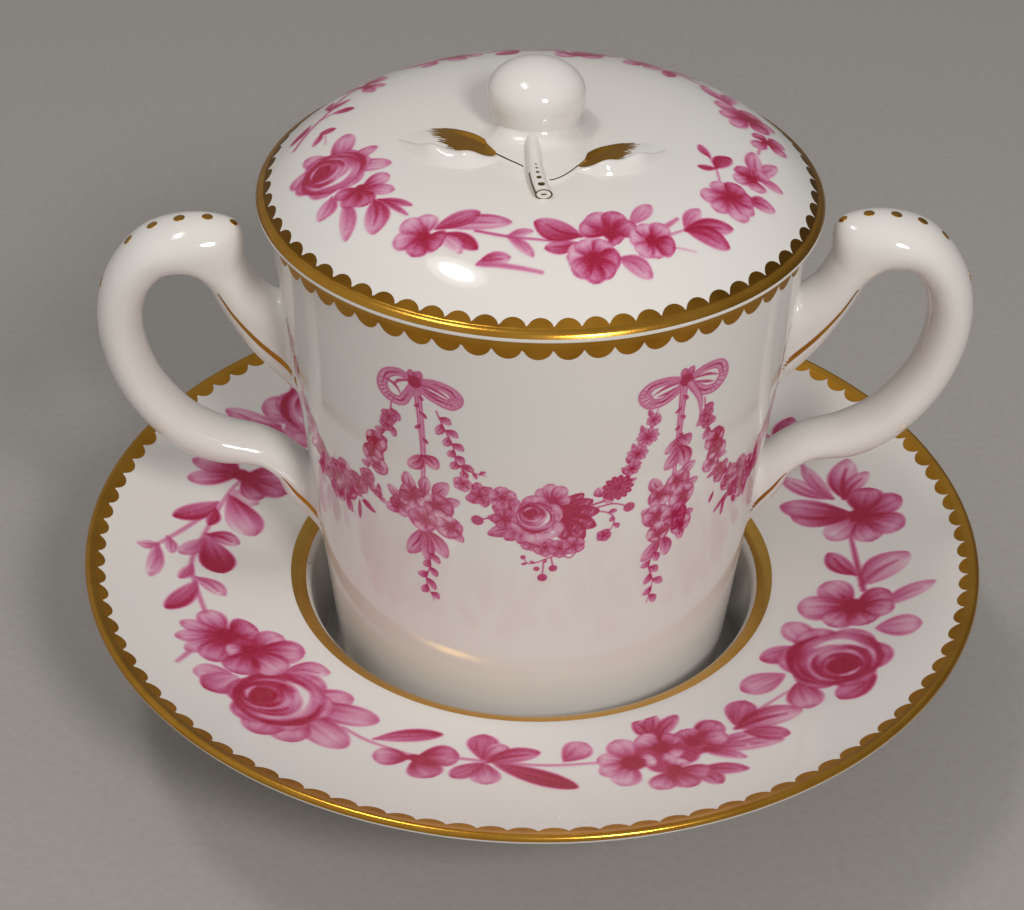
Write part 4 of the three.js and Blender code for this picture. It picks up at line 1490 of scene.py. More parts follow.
def paint_lid(art):
    """Wreath of a rose, small flowers and sprigs round the lid."""
    # Rose on the left, with the leaves under it and the long sprig behind it
    art.flower((-75, 33.6), [
        (-86, 36.8, 2.4, 0.5), (-91.5, 30.6, 2.8, 0.45), (-79.2, 39.6, 3.0, 0.6), (-80, 26.7, 2.0, 0.6),
        (-67.5, 26.2, 2.6, 0.4),
    ])
    art.spray((-65, 36), [(-61, 39.4, 2.4)], tones=(MID, PALE))
    art.spray((-60.6, 35), [(-50.4, 39.4, 2.0)], tones=(MID, PALE))
    art.spray((-54.2, 32.2), [(-45.3, 36.8, 3.0)], tones=(DEEP, PALE))
    art.spray((-53.5, 31.8), [(-43, 29.9, 1.1), (-41.5, 31.8, 0.8)])
    art.rose(polar(-74.6, 33.6), 5.7, (-0.36, 0.18), 0.6)
    art.flower((-61.7, 32.1), [
        (-61.3, 27.6, 2.6, 0.42), (-53.6, 29.2, 2.0, 0.42), (-54.9, 33.6, 2.8, 0.95),
        (-58.4, 35.6, 2.6, 0.95), (-64, 35.6, 2.2, 0.9),
    ])
    # Berry, bud and small flower on the long stem behind the rose
    art.stem([(-90.5, 34), (-97.5, 34.4)], 0.25, tone=PALE)
    art.spray((-97.6, 35), [(-91.8, 36, 1.0)])
    art.petal(polar(-97.6, 35.4), polar(-98.4, 32.8), 1.9, (DEEP, DEEP), belly=1.0, point=0.5)
    art.stem([(-95, 39.3), (-103, 37.6), (-111, 36.3), (-123, 36.8), (-135, 36)], 0.4)
    art.spray((-106, 38.2), [(-99, 40.3, 1.3)], tones=(DEEP, DEEP))
    art.stem([(-107, 36.8), (-109.6, 35)], 0.3)
    art.petal(polar(-109.4, 35.4), polar(-110.4, 31.6), 2.0, (MID, DARK))
    art.spray((-112, 36.2), [(-118, 34.4, 1.2), (-119, 38.2, 1.2)])
    art.flower((-127.5, 35.7), [
        (-122.4, 31.8, 1.6, 0.7), (-127, 31.4, 1.6, 0.6), (-134, 34.4, 1.8, 0.7), (-136, 37, 2.2, 0.7),
        (-127, 39.4, 2.2, 0.6),
    ])
    # Flower in front on the left, with the stem that runs to the middle
    art.spray((-30, 31.6), [(-11.5, 28.3, 2.6)], tones=(MID, PALE))
    art.spray((-29, 32.8), [(-18.5, 34.2, 2.0)], tones=(DEEP, DEEP))
    art.spray((-30, 33.4), [(-22, 35.4, 2.0)], tones=(PALE, 0.12))
    art.petal(polar(-32, 32.6), polar(-22.5, 27), 3.2, (DEEP, MID), side=-0.15)
    art.flower((-33, 34.2), [
        (-36.5, 30.6, 2.8, 0.3), (-40.5, 33, 2.8, 0.34), (-39, 36.6, 2.6, 0.4), (-33, 37.4, 2.8, 0.9),
        (-28, 34.4, 3.2, 0.98),
    ])
    art.stem([(-21, 31), (-12, 31.2), (1, 31.8)], 0.4)
    art.spray((-12, 31.2), [(-5, 29.8, 1.2), (-4.5, 34.6, 1.4)], tones=(MID, PALE))
    art.spray((-17.5, 36.6), [(-10, 34.9, 1.8)], tones=(DEEP, PALE))
    art.stem([(-17, 36.4), (-11, 36.3), (-2.5, 37)], 0.75, tone=MID)
    # Two full flowers in the middle
    art.spray((8, 31), [(-5, 27.7, 3.4)], side=0.25)
    art.spray((7, 32.3), [(-2, 33, 1.9)])
    art.petal(polar(23, 30.2), polar(33.5, 27.5), 2.6, (MID, PALE))
    art.flower((16, 31.4), [
        (9.5, 28.6, 3.6, 0.6), (14, 26.8, 3.4, 0.5), (21, 27.3, 3.0, 0.85), (24, 30.4, 3.0, 0.8),
        (17.5, 33, 2.8, 0.95),
    ])
    art.spray((16, 35.6), [(22, 39.2, 2.4)], tones=(MID, PALE))
    art.flower((10, 35), [
        (4, 34.4, 3.6, 0.3), (8, 32, 2.8, 0.36), (14.5, 32.8, 3.0, 0.4), (15.8, 35.8, 3.0, 0.95),
        (13, 38, 2.6, 0.85), (9, 38.6, 2.6, 0.88), (5, 37.2, 2.6, 0.7),
    ])
    # Flower and leaf pair on the right
    art.stem([(29, 35.4), (35, 37.6)], 0.3, tone=PALE)
    art.stem([(29, 32.8), (37, 31.7)], 0.8, tone=MID)
    art.flower((26, 33.9), [
        (21.4, 32.2, 2.8, 0.26), (26.5, 30.8, 2.8, 0.3), (31.8, 32, 2.6, 0.45), (25, 36.6, 2.4, 0.5),
        (21.6, 35.6, 2.4, 0.34), (30.2, 36, 3.0, 0.98),
    ])
    art.stem([(31, 33.8), (37, 33.9)], 0.3, tone=MID)
    art.spray((36.5, 34), [(45.5, 31.8, 1.9)], tones=(MID, PALE))
    art.spray((36.5, 34), [(48.5, 37, 2.4), (43.6, 39, 2.8)], side=0.25)
    # Flowers and sprigs on the right
    art.stem([(58, 31.4), (66, 28.8), (77, 25.6)], 0.3, tone=MID)
    art.spray((67, 28.6), [(76, 29.8, 2.2), (64, 26, 1.2)], tones=(DEEP, DEEP))
    art.spray((72, 27), [(79, 24.8, 1.2)])
    art.spray((71, 35), [(72, 38.8, 1.8), (82, 37, 1.8), (84, 33.2, 2.2)], tones=(MID, PALE))
    art.spray((60, 35.4), [(64, 39, 2.4)], tones=(DEEP, PALE))
    art.flower((70, 34), [
        (75, 35.4, 2.2, 0.5), (66.4, 35.8, 2.4, 0.45), (65.8, 32, 2.2, 0.4), (72.5, 31.4, 2.4, 0.95),
    ])
    art.flower((57, 33), [
        (51, 30.2, 2.8, 0.45), (59.5, 29.8, 2.4, 0.45), (49.5, 33.4, 2.4, 0.5), (52.6, 36.8, 2.8, 0.4),
        (57, 37, 2.4, 0.5), (61, 35.8, 2.8, 0.98), (63.5, 32.8, 2.8, 0.98),
    ])
    art.stem([(84, 34), (91, 35)], 0.35, tone=MID)
    art.flower((93, 36), [
        (88, 33.6, 2.0, 0.5), (90, 38.6, 2.2, 0.6), (96, 38.8, 2.2, 0.7), (96, 34.4, 2.2, 0.9),
    ])
    art.flower((104, 34.6), [
        (114, 32, 2.6, 0.5), (106, 30.4, 2.8, 0.5), (98, 31.2, 2.4, 0.4), (110, 37, 3.0, 0.75),
        (104, 39, 2.8, 0.6), (98.6, 36.6, 2.8, 0.85),
    ])
    art.spray((113, 34), [(127, 34.2, 2.0), (122, 38.2, 2.2)], tones=(MID, PALE))
    # Rose and flowers behind
    art.stem([(126, 35), (140, 34), (150, 34)], 0.4)
    art.spray((140, 34), [(134, 30.4, 2.0), (133, 37.6, 2.2)])
    art.flower((147, 34), [
        (141, 32, 2.6, 0.4), (145, 37.6, 2.6, 0.6), (150, 30.6, 2.6, 0.5), (152, 36, 2.8, 0.9),
    ])
    art.flower((166, 33.6), [
        (157, 36, 3.4, 0.5), (160, 29.6, 3.2, 0.5), (171, 28.4, 3.0, 0.4), (176, 36.4, 3.4, 0.6),
    ])
    art.spray((172, 36), [(178, 40, 2.4), (170, 40, 2.4)], tones=(MID, PALE))
    art.rose(polar(166, 33.8), 4.4, (0.3, -0.25), 2.0)
    art.stem([(175, 33.4), (188, 33.2), (204, 33.4)], 0.4)
    art.spray((184, 33.2), [(192, 30, 2.4), (190, 37, 2.4)])
    art.flower((202, 33.6), [
        (196, 32, 2.6, 0.35), (200, 37, 2.6, 0.5), (205, 30.4, 2.6, 0.4), (208, 35, 2.8, 0.92),
    ])
    art.spray((209, 34), [(216, 31.6, 2.0), (218, 36.4, 2.0)], tones=(MID, PALE))


def paint_saucer(art):
    """Wreath of two roses in front and one behind, with flowers and sprigs, round the saucer."""
    # Rose on the left and the two flowers above it
    art.leaf(polar(-55, 51.6), polar(-49.4, 45.8), 4.6, (MID, 0.15))
    art.petal(polar(-57.6, 60), polar(-60, 66), 5.2, (MID, 0.18))
    art.petal(polar(-57, 59.4), polar(-55.6, 66.6), 6.4, (PALE, MID), rim=0.35)
    art.flower((-48.4, 57), [
        (-40.8, 48.4, 4.4, 0.45), (-33.4, 50.4, 4.4, 0.5), (-33.4, 59.4, 5.4, 0.42), (-39.4, 64, 5.8, 0.6),
        (-43.6, 66.6, 5.6, 0.75),
    ], size=2.0)
    art.rose(polar(-48.6, 57.2), 8.7, (-0.32, 0.08))
    art.stem([(-66, 62.6), (-62.6, 67.4)], 0.8, tone=MID)
    art.dot(polar(-65.2, 55), 2.8, DEEP)
    art.flower((-68.2, 56.4), [
        (-75, 58.4, 4.0, 0.4), (-72.2, 62.8, 2.8, 0.45), (-68.8, 64.6, 2.8, 0.5), (-65.4, 64.2, 2.8, 0.5),
        (-62.4, 61.6, 4.6, 0.75), (-69.6, 51.4, 5.2, 0.85),
    ], size=1.8)
    art.flower((-63.3, 54.2), [
        (-65, 48, 4.6, 0.4), (-63.6, 58, 3.6, 0.35), (-58.4, 46.8, 5.0, 0.6), (-55.2, 52.4, 5.0, 0.42),
        (-58, 59, 5.0, 0.8),
    ], size=1.3)
    # Sprig up the left side
    art.stem([(-75, 58.4), (-82, 59), (-88.4, 59.7), (-98.2, 58.3), (-110.6, 57.8), (-116, 57.4)], 0.7, MID)
    art.spray((-83.4, 58.9), [(-75.6, 65, 3.0)], tones=(MID, DEEP))
    art.spray((-84.6, 58.9), [(-79.6, 54.2, 2.6)], tones=(MID, 0.18))
    art.spray((-88, 59.6), [(-83.8, 61.8, 1.7)], tones=(MID, MID))
    art.petal(polar(-97, 58.2), polar(-86.4, 54.2), 6.4, (MID, DARK), belly=1.7, side=-0.15)
    art.spray((-97, 58), [(-96, 52, 3.0)], tones=(DEEP, PALE))
    art.spray((-95.4, 58.4), [(-90.4, 62, 2.6)], tones=(MID, PALE))
    art.stem([(-104, 58.8), (-96.4, 62.4), (-91, 66.2)], 0.7, tone=MID)
    art.spray((-91.6, 65.8), [(-90.6, 69.2, 1.8), (-83.2, 66.8, 2.2)], tones=(MID, 0.18))
    art.spray((-94, 64.4), [(-90, 63.2, 1.7)], tones=(MID, PALE))
    art.spray((-106.4, 58.6), [(-99.2, 64.6, 3.2)], tones=(MID, DEEP))
    art.spray((-104.6, 58.4), [(-99.6, 58.2, 1.9)], tones=(DEEP, DEEP))
    art.petal(polar(-110.8, 57.8), polar(-109.4, 52), 4.4, (PALE, 0.15))
    art.petal(polar(-109.6, 57.8), polar(-99.2, 50), 6.6, (DEEP, 0.22), belly=1.6, side=0.25)
    # Flowers behind the left handle
    art.flower((-115.6, 58), [
        (-113.8, 66.4, 2.8, 0.6), (-109.6, 65, 3.0, 0.55), (-118.6, 65.4, 2.8, 0.6), (-111.4, 52.6, 3.8, 0.8),
        (-115.6, 49.4, 4.4, 0.95), (-120.4, 52, 4.0, 0.8),
    ], size=1.6)
    art.spray((-131, 61), [(-126.6, 70, 3.6), (-125, 60, 4.2), (-128, 66, 3.0)], tones=(MID, PALE))
    art.flower((-139, 60), [
        (-130, 55.6, 5.6, 0.6), (-132, 65.6, 5.4, 0.5), (-146.6, 65.6, 5.6, 0.5), (-147.6, 54.6, 5.6, 0.5),
    ], size=2.0)
    art.rose(polar(-139, 60), 7.4, (0.2, 0.25))
    # Stem, leaves and petals in front
    art.stem([(-36, 55), (-31, 55.6), (-23, 55.6)], 0.5, tone=MID)
    art.spray((-30, 54.6), [(-19.6, 48.4, 2.6)], tones=(MID, DEEP))
    art.flower((-22, 56.2), [
        (-27.4, 58.8, 4.0, 0.55), (-15.6, 53.2, 4.6, 0.85), (-17.8, 60.4, 4.6, 0.88),
    ], size=0.9)
    art.stem([(-16.6, 54), (-11, 53.6), (0, 54), (11, 54.4)], 0.6, tone=MID)
    art.petal(polar(-11, 53.4), polar(-12, 46.6), 5.2, (DEEP, MID), belly=1.6)
    art.petal(polar(-11, 53.4), polar(-7, 49), 4.8, (DEEP, PALE), belly=1.5)
    art.petal(polar(-10.6, 54), polar(-9.2, 60.4), 5.0, (DEEP, PALE), belly=1.5)
    art.petal(polar(-10.6, 54), polar(-14.8, 59.6), 3.8, (DEEP, MID), belly=1.5)
    art.spray((-10, 53.8), [(-0.8, 50.4, 3.0)])
    art.petal(polar(-9, 54), polar(4.4, 61), 4.4, (DEEP, DARK), belly=1.3)
    art.petal(polar(3, 53.2), polar(8, 48.6), 5.0, (DEEP, PALE), belly=1.5)
    # Cluster in front on the right
    art.spray((21, 51), [(19.4, 45, 2.4), (23.6, 44.8, 2.4), (28, 47, 2.2)])
    art.spray((28, 59), [(37, 63.6, 2.8)], tones=(MID, PALE))
    art.spray((22, 62), [(23.4, 68, 2.8), (28.4, 66.6, 2.8)])
    for angle, radius in ((19, 57.6), (22.4, 56.6), (25.8, 55.2), (16.6, 54.4)):
        art.dot(polar(angle, radius), 3.0, DEEP)
    art.spray((26, 57.4), [(36.4, 58.8, 2.0), (33.6, 61.6, 2.2), (30, 63.6, 2.0)], tones=(DEEP, PALE))
    art.flower((26, 54.6), [(32.6, 52.4, 4.0, 0.88), (31.4, 56, 3.4, 0.5), (26.4, 51, 3.8, 0.85)], size=1.2)
    art.flower((20.4, 53.6), [(18, 49.6, 3.8, 0.4), (24.2, 51.4, 3.6, 0.9), (21.6, 57, 3.4, 0.3)], size=1.5)
    art.flower((14.4, 55.8), [
        (13.8, 49.4, 4.0, 0.4), (9.2, 53.4, 3.4, 0.36), (8.8, 57.4, 3.2, 0.4), (11, 61.4, 3.8, 0.3),
        (18, 56, 3.0, 0.2),
    ], size=2.0)
    art.flower((19.6, 60), [
        (15.4, 64.4, 3.6, 0.6), (19.8, 66, 3.6, 0.9), (23.6, 63.6, 3.4, 0.85), (21.6, 57.6, 2.8, 0.25),
    ], size=1.2)
    art.petal(polar(34.4, 55), polar(41, 51), 5.4, (DEEP, MID), belly=1.5)
    art.spray((34, 55.6), [(45, 60, 4.4)], tones=(DEEP, PALE), side=0.28)
    art.petal(polar(34.4, 57), polar(38.6, 63.2), 4.2, (DEEP, MID))
    art.stem([(41.4, 54.4), (47.6, 55)], 0.45, tone=MID)
    # Rose on the right and the flower above it
    art.petal(polar(62, 53), polar(67.4, 46.6), 5.6, (MID, 0.22))
    art.petal(polar(61, 52), polar(53.4, 46.4), 4.6, (DEEP, MID), side=0.2)
    art.petal(polar(52, 52), polar(42.8, 48.8), 5.4, (MID, PALE), rim=0.35)
    art.petal(polar(51, 55), polar(45.6, 61), 6.2, (DEEP, PALE), rim=0.3)
    art.petal(polar(57, 66), polar(49.6, 63.4), 5.4, (DEEP, MID), side=0.2)
    art.petal(polar(68.6, 61.6), polar(69.8, 69.2), 6.2, (MID, 0.2), rim=0.3)
    art.spray((74.4, 61.6), [(79.4, 70.4, 3.0)], tones=(MID, 0.2))
    art.flower((74.6, 57), [
        (81.2, 52, 4.8, 0.45), (73, 48.2, 5.4, 0.42), (68.8, 54, 4.6, 0.6), (78, 62.4, 4.2, 0.9),
        (70, 60, 4.6, 0.85), (73.8, 63.4, 3.8, 0.6),
    ], size=2.0)
    art.rose(polar(59.4, 57.6), 9.0, (0.1, -0.26))
    art.spray((80.6, 57.9), [(87.4, 66.4, 5.2)], tones=(MID, 0.2))
    art.spray((83.5, 57), [(91, 52.8, 3.2)])
    art.stem([(79, 58.3), (86.2, 57.4), (95, 57.6)], 0.9)
    # Flower behind the right handle
    art.spray((106, 58), [(117, 53, 2.8), (117.2, 58, 2.2)], tones=(MID, PALE))
    art.spray((105, 59.8), [(113.6, 65.2, 4.2), (108.8, 66.4, 3.0)], tones=(DEEP, 0.2))
    art.flower((99.6, 60.6), [
        (95.4, 54, 4.2, 0.25), (104.6, 50.2, 5.0, 0.6), (108, 49.6, 4.4, 0.7), (92.6, 60.8, 4.4, 0.55),
        (94, 66.2, 4.6, 0.65), (100.4, 68, 4.4, 0.85), (105, 64.2, 5.2, 0.95),
    ], size=1.9)
    # Rose and flowers behind
    art.stem([(117, 58), (128, 58.6), (138, 58)], 0.6, tone=MID)
    art.spray((124, 58.4), [(128, 65, 3.4), (131, 52.6, 3.4)])
    art.flower((140, 58), [
        (133, 55, 4.6, 0.4), (136, 64.4, 4.8, 0.6), (146, 62.4, 4.6, 0.85), (143, 51.4, 4.8, 0.5),
    ], size=1.5)
    art.spray((150, 58), [(153, 66, 3.6), (152, 51, 3.6)], tones=(DEEP, PALE))
    art.flower((167, 58), [
        (156, 54, 6.0, 0.42), (158, 64.6, 6.0, 0.5), (172, 49.4, 6.0, 0.5), (177, 63, 6.0, 0.42),
    ], size=2.0)
    art.rose(polar(167, 58), 8.2, (0.25, 0.2))
    art.stem([(178, 57.6), (189, 57.4), (200, 58)], 0.6, tone=MID)
    art.spray((186, 57.4), [(192, 63, 3.4), (190, 51.6, 3.4)])
    art.flower((201, 58.4), [
        (195, 55, 4.4, 0.4), (199, 64.6, 4.6, 0.5), (207, 62, 4.4, 0.85), (205, 53, 4.4, 0.5),
    ], size=1.4)
    art.stem([(206, 58.6), (213, 59.4)], 0.5, tone=MID)


def wall(across, height):
    """A place on the unrolled wall of the cup: millimetres right of the panel's middle, and height."""
    return np.array([across, height], float)


def paint_bow(art, knot, loops, tufts):
    """A ribbon bow: two wide loops with their folds, short ends above and a tight knot."""
    for loop, folds in loops:
        art.stroke(loop, (1.3, 2.1, 1.4), 0.26, rim=0.46)
        for start in (loop[:4], loop[:3:-1]):
            art.stroke(start, (1.1, 0.8, 0.2), MID)
            art.stroke(start[1:], (0.1, 0.3, 0.1), DARK)
        # Hatching across the outer bend
        bend = through(np.array(loop, float), np.linspace(0.36, 0.64, 7))
        inwards = np.mean(loop, axis=0) - bend
        for outer, inner in zip(bend - 0.16 * inwards, bend + 0.3 * inwards):
            art.stroke([outer, (outer + inner) / 2, inner], (0.3, 0.3, 0.1), 0.62)
        for fold in folds:
            art.stroke(fold, (0.3, 0.6, 0.15), DEEP)
    for tuft in tufts:
        art.petal(wall(*knot), wall(*tuft), 1.5, (DARK, MID))
    art.dot(wall(*knot), 1.1, DARK)


# Bunches that hang from the bows: ribbon, roses, the leaves between and round them, and the trailing tip.
HANGING_LEFT = {
    "ribbon": [(-19.7, 88), (-19.5, 83.5), (-19.4, 75.7), (-19.8, 69.3)],
    "roses": [
        (-24.2, 62.7, 2.0), (-21.9, 65.4, 2.4), (-17.4, 65, 2.5), (-15.9, 61.2, 2.3), (-20.4, 61.6, 2.6),
    ],
    "leaves": [
        (-19.6, 74.8, -22.2, 71.6, 2.6), (-19.6, 74.8, -17, 72.8, 2.6), (-21.4, 66, -22.8, 70.4, 2.6),
        (-19.6, 66.4, -19.2, 70.6, 2.2), (-18, 66, -15.6, 70.4, 2.6), (-16.8, 65, -13.8, 67.2, 2.2),
        (-24, 63.4, -27.4, 61, 2.4), (-23.6, 64, -26.6, 66.2, 2.0), (-15.6, 60.4, -13.4, 58.6, 1.8),
        (-20.4, 59.4, -23.8, 53, 3.0), (-20, 59.4, -16.4, 54.4, 3.0), (-20, 58.6, -20.2, 52.6, 2.6),
    ],
    "tip": [(-20, 56), (-19.6, 51.9), (-20.6, 48.4), (-19.3, 44.2)],
}
HANGING_RIGHT = {
    "ribbon": [(19.9, 88), (20.1, 82), (20.3, 76.7), (20.4, 70.4)],
    "roses": [
        (21.4, 68.4, 2.2), (18.4, 66.4, 2.1), (22.6, 65, 2.4), (18, 62.6, 2.3), (21.4, 61.6, 2.4),
        (23.4, 58.8, 2.0), (19, 58.8, 2.1),
    ],
    "leaves": [
        (20.4, 77.8, 18.2, 75, 2.0), (20.4, 77.6, 22.6, 75.6, 2.4), (21, 76, 18.6, 71.6, 2.8),
        (20.6, 76, 22.6, 71, 2.8), (21.4, 69, 24.4, 71.4, 2.2), (18.6, 67.4, 16.4, 70.6, 2.4),
        (22.8, 66, 25.6, 67.4, 2.2), (23.4, 60, 25.8, 60.6, 1.8), (17.6, 63, 15.4, 64.4, 2.0),
        (19.4, 57.4, 16.4, 53.2, 2.6), (20, 57.4, 21.2, 53, 2.4), (22.6, 58, 24, 55.4, 1.8),
    ],
    "tip": [(19.2, 56), (18, 52), (19.2, 48), (18.6, 43.4)],
}


def paint_hanging_spray(art, spray):
    """A ribbon that hangs from a bow, with a close bunch of small roses and a trailing tip."""
    art.stroke(spray["ribbon"], (1.3, 1.0, 0.7), PALE, rim=0.6)
    art.sprig(spray["ribbon"][:3], 5, 1.4, 0.7, (DEEP, DEEP), 0.15)
    for from_across, from_height, to_across, to_height, width in spray["leaves"]:
        art.leaf(wall(from_across, from_height), wall(to_across, to_height), width, (DEEP, 0.3))
    for across, height, size in spray["roses"]:
        art.dot(wall(across, height), size * 1.05, DEEP)
    for across, height, size in spray["roses"]:
        art.small_rose(wall(across, height), size)
    art.sprig(spray["tip"], 7, 2.3, 1.5, (DEEP, 0.4))


def paint_middle_swag(art):
    """Swag between the bows, with a large rose at its lowest point."""
    art.sprig([(-16.8, 84.4), (-15.7, 81.3), (-14.4, 78), (-14, 75), (-12.4, 73)], 10, 2.1, 1.5, (DEEP, 0.4))
    art.sprig([(-13.6, 74.6), (-11.6, 73.6), (-9.4, 73.2)], 3, 1.2, 0.7)
    art.stem([(-13.4, 72), (-9.6, 69.4), (-5, 66.8)], 0.4)
    art.daisy(wall(-13.2, 70.9), 1.6, 5, PALE)
    art.spray((-10.4, 69), [(-12.8, 68, 1.6), (-10.8, 71.8, 1.5), (-8.6, 71, 1.4), (-9.6, 66.8, 1.4)])
    art.daisy(wall(-10.6, 69), 1.7, 5, MID, 0.9)
    art.daisy(wall(-7, 69.2), 2.3, 5, PALE, 0.4)
    art.stem([(-10.8, 64), (-8.4, 65), (-6, 65.6)], 0.3)
    art.dot(wall(-11, 63.9), 1.0, DEEP)
    # Leaves that stand out behind the rose on both sides
    for tip, width in (
        ((-8.6, 67.4), 2.0), ((-9.4, 64.9), 2.0), ((-9.4, 61.2), 2.2), ((-6.6, 60.4), 2.4),
        ((-4.4, 59.8), 2.0), ((-5.4, 69.4), 2.0),
    ):
        art.leaf(wall(-3.6, 65), wall(*tip), width * 1.25, (DARK, MID))
    art.daisy(wall(-6.6, 64.9), 2.2, 6, MID)
    for tip, width in (
        ((3.4, 69.6), 2.4), ((5.4, 70.2), 2.2), ((7, 68.6), 2.6), ((8.2, 66.2), 2.6), ((7.8, 63), 2.6),
        ((6, 60.6), 2.6), ((3, 60.6), 2.4),
    ):
        art.leaf(wall(1.4, 65.4), wall(*tip), width * 1.2, (DARK, DEEP), 0.1)
        for share in (0.55, 0.8):
            vein = wall(1.4, 65.4) * (1 - share) + wall(*tip) * share
            art.stroke([vein, vein + (0.5, 0.7)], (0.16, 0.18, 0.1), PALE)
    for across, height, size in ((-2.4, 60.2, 1.9), (-0.2, 59.2, 2.0), (2.2, 58.9, 2.0), (4.4, 59.4, 1.9)):
        art.daisy(wall(across, height), size, 5, 0.4, across)
    art.flower((0.6, 68.4), [
        (-1.4, 71.2, 2.0, 0.5), (0.2, 72.2, 2.0, 0.45), (2.2, 71.6, 2.0, 0.5), (3.2, 69.4, 1.8, 0.6),
    ], size=0.5)
    art.flower((-1.9, 65.8), [
        (-2.2, 69.8, 3.0, 0.6), (-5.2, 66.8, 2.8, 0.55), (-4.8, 62.8, 3.0, 0.5), (-1.6, 60.4, 3.4, 0.3),
        (1.6, 62, 3.4, 0.24), (2, 66.6, 3.2, 0.3),
    ], size=1.0)
    art.rose(wall(-1.8, 65.4), 3.6, (-0.22, 0.3))
    # Berries under the rose
    art.sprig([(1.8, 57.6), (-0.6, 56.5), (-2.7, 55.6), (-3.7, 57)], 3, 1.0, 0.6)
    art.stem([(0.8, 57), (1.2, 55)], 0.25)
    art.stem([(-0.4, 56.2), (-0.5, 53)], 0.25)
    art.stem([(2, 58), (3.8, 56.8), (4.8, 57.8)], 0.25)
    for across, height, radius in ((1.2, 54.7, 0.7), (-0.5, 52.7, 0.8), (-1.5, 54.6, 0.5), (-3.7, 57, 0.45)):
        art.dot(wall(across, height), radius, DEEP)
    # Flowers to the right, and the fluffy ones up to the bow
    art.stem([(7, 67.6), (9.6, 68.4), (11, 69.4)], 0.4)
    art.stem([(7, 66.8), (10.4, 67.2), (13, 66)], 0.3)
    art.spray((8.6, 69), [(7.6, 71, 1.5), (10, 67.4, 1.3), (13.8, 71.6, 1.4)], (DEEP, PALE))
    art.daisy(wall(10.8, 70.4), 2.6, 13, DEEP)
    art.dot(wall(13, 65.9), 0.95, DEEP)
    art.sprig([(8.4, 66), (10.2, 65), (10.6, 62.6), (9.3, 60.9)], 4, 1.3, 1.0)
    art.daisy(wall(9.2, 60.8), 1.3, 5, MID)
    art.sprig([(12.4, 71.4), (12.8, 74), (13.4, 77), (14.8, 80.6), (16, 84.8)], 9, 2.3, 0.9, (DARK, MID))
    for across, height, size, count in (
        (12.8, 73.8, 1.4, 7), (13.4, 76.6, 1.8, 9), (14.8, 79.6, 1.9, 10), (15.5, 82.8, 1.3, 7)
    ):
        art.daisy(wall(across, height), size, count, 0.36)


# Half swag beside a bow: its path, and the small flowers on it with their sizes.
OUTER_SWAG = [
    (24.2, 84), (25.2, 79), (27.6, 74.6), (29, 70.4), (31.5, 66), (36, 61), (41, 59.8), (45, 63), (49, 69),
    (51.8, 76), (53, 82),
]
OUTER_DAISIES = [
    (25, 80.4, 1.5), (25.6, 78.6, 1.3), (31, 65.6, 1.7), (49.4, 69.4, 1.9), (51.6, 75.4, 1.6),
    (53.2, 79, 1.5),
]
OUTER_ROSES = [
    (28, 74.2, 2.0), (29, 71, 2.1), (28, 69.2, 1.7), (34, 62.8, 2.1), (36.6, 60.4, 2.3), (39.4, 61.8, 2.4),
    (42.4, 60.6, 2.4), (44.6, 63.6, 2.3), (47, 66.6, 2.1), (39.6, 58, 2.0), (36.8, 64.2, 1.7),
]
# Fronds: how many, where they start and end, and the curve of their roots about the lowest point.
OUTER_FRONDS = 40
FROND_REACH = (28.6, 48.4)
FROND_LOW = (38.5, 59)
FROND_CURVE = 0.06


def paint_outer_swag(art, side):
    """Half swag from a bow out towards a handle, with a close bunch and fronds where it hangs lowest."""
    path = [(across * side, height) for across, height in OUTER_SWAG]
    art.sprig(path[:5], 11, 2.2, 1.5, (DEEP, 0.4))
    art.sprig(path[4:7], 9, 3.2, 1.8, (DEEP, 0.4))
    art.sprig(path[6:], 13, 2.8, 1.7, (DEEP, 0.4))
    for across, height, size in OUTER_DAISIES:
        art.daisy(wall(across * side, height), size, 5, MID, height)
    for across, height, size in OUTER_ROSES:
        art.dot(wall(across * side, height), size * 1.05, DEEP)
        art.small_rose(wall(across * side, height), size)
    middle, low = FROND_LOW
    for across in np.linspace(*FROND_REACH, OUTER_FRONDS):
        height = low + FROND_CURVE * (across - middle) ** 2 + art.dice.uniform(-2, 6)
        root = wall(across * side, height)
        angle = art.dice.uniform(-2.9, 0.3)
        tip = root + art.dice.uniform(2, 4.6) * heading(angle)
        art.petal(root, tip, art.dice.uniform(0.8, 1.4), (DARK, art.dice.uniform(0.25, 0.75)), belly=1.2)


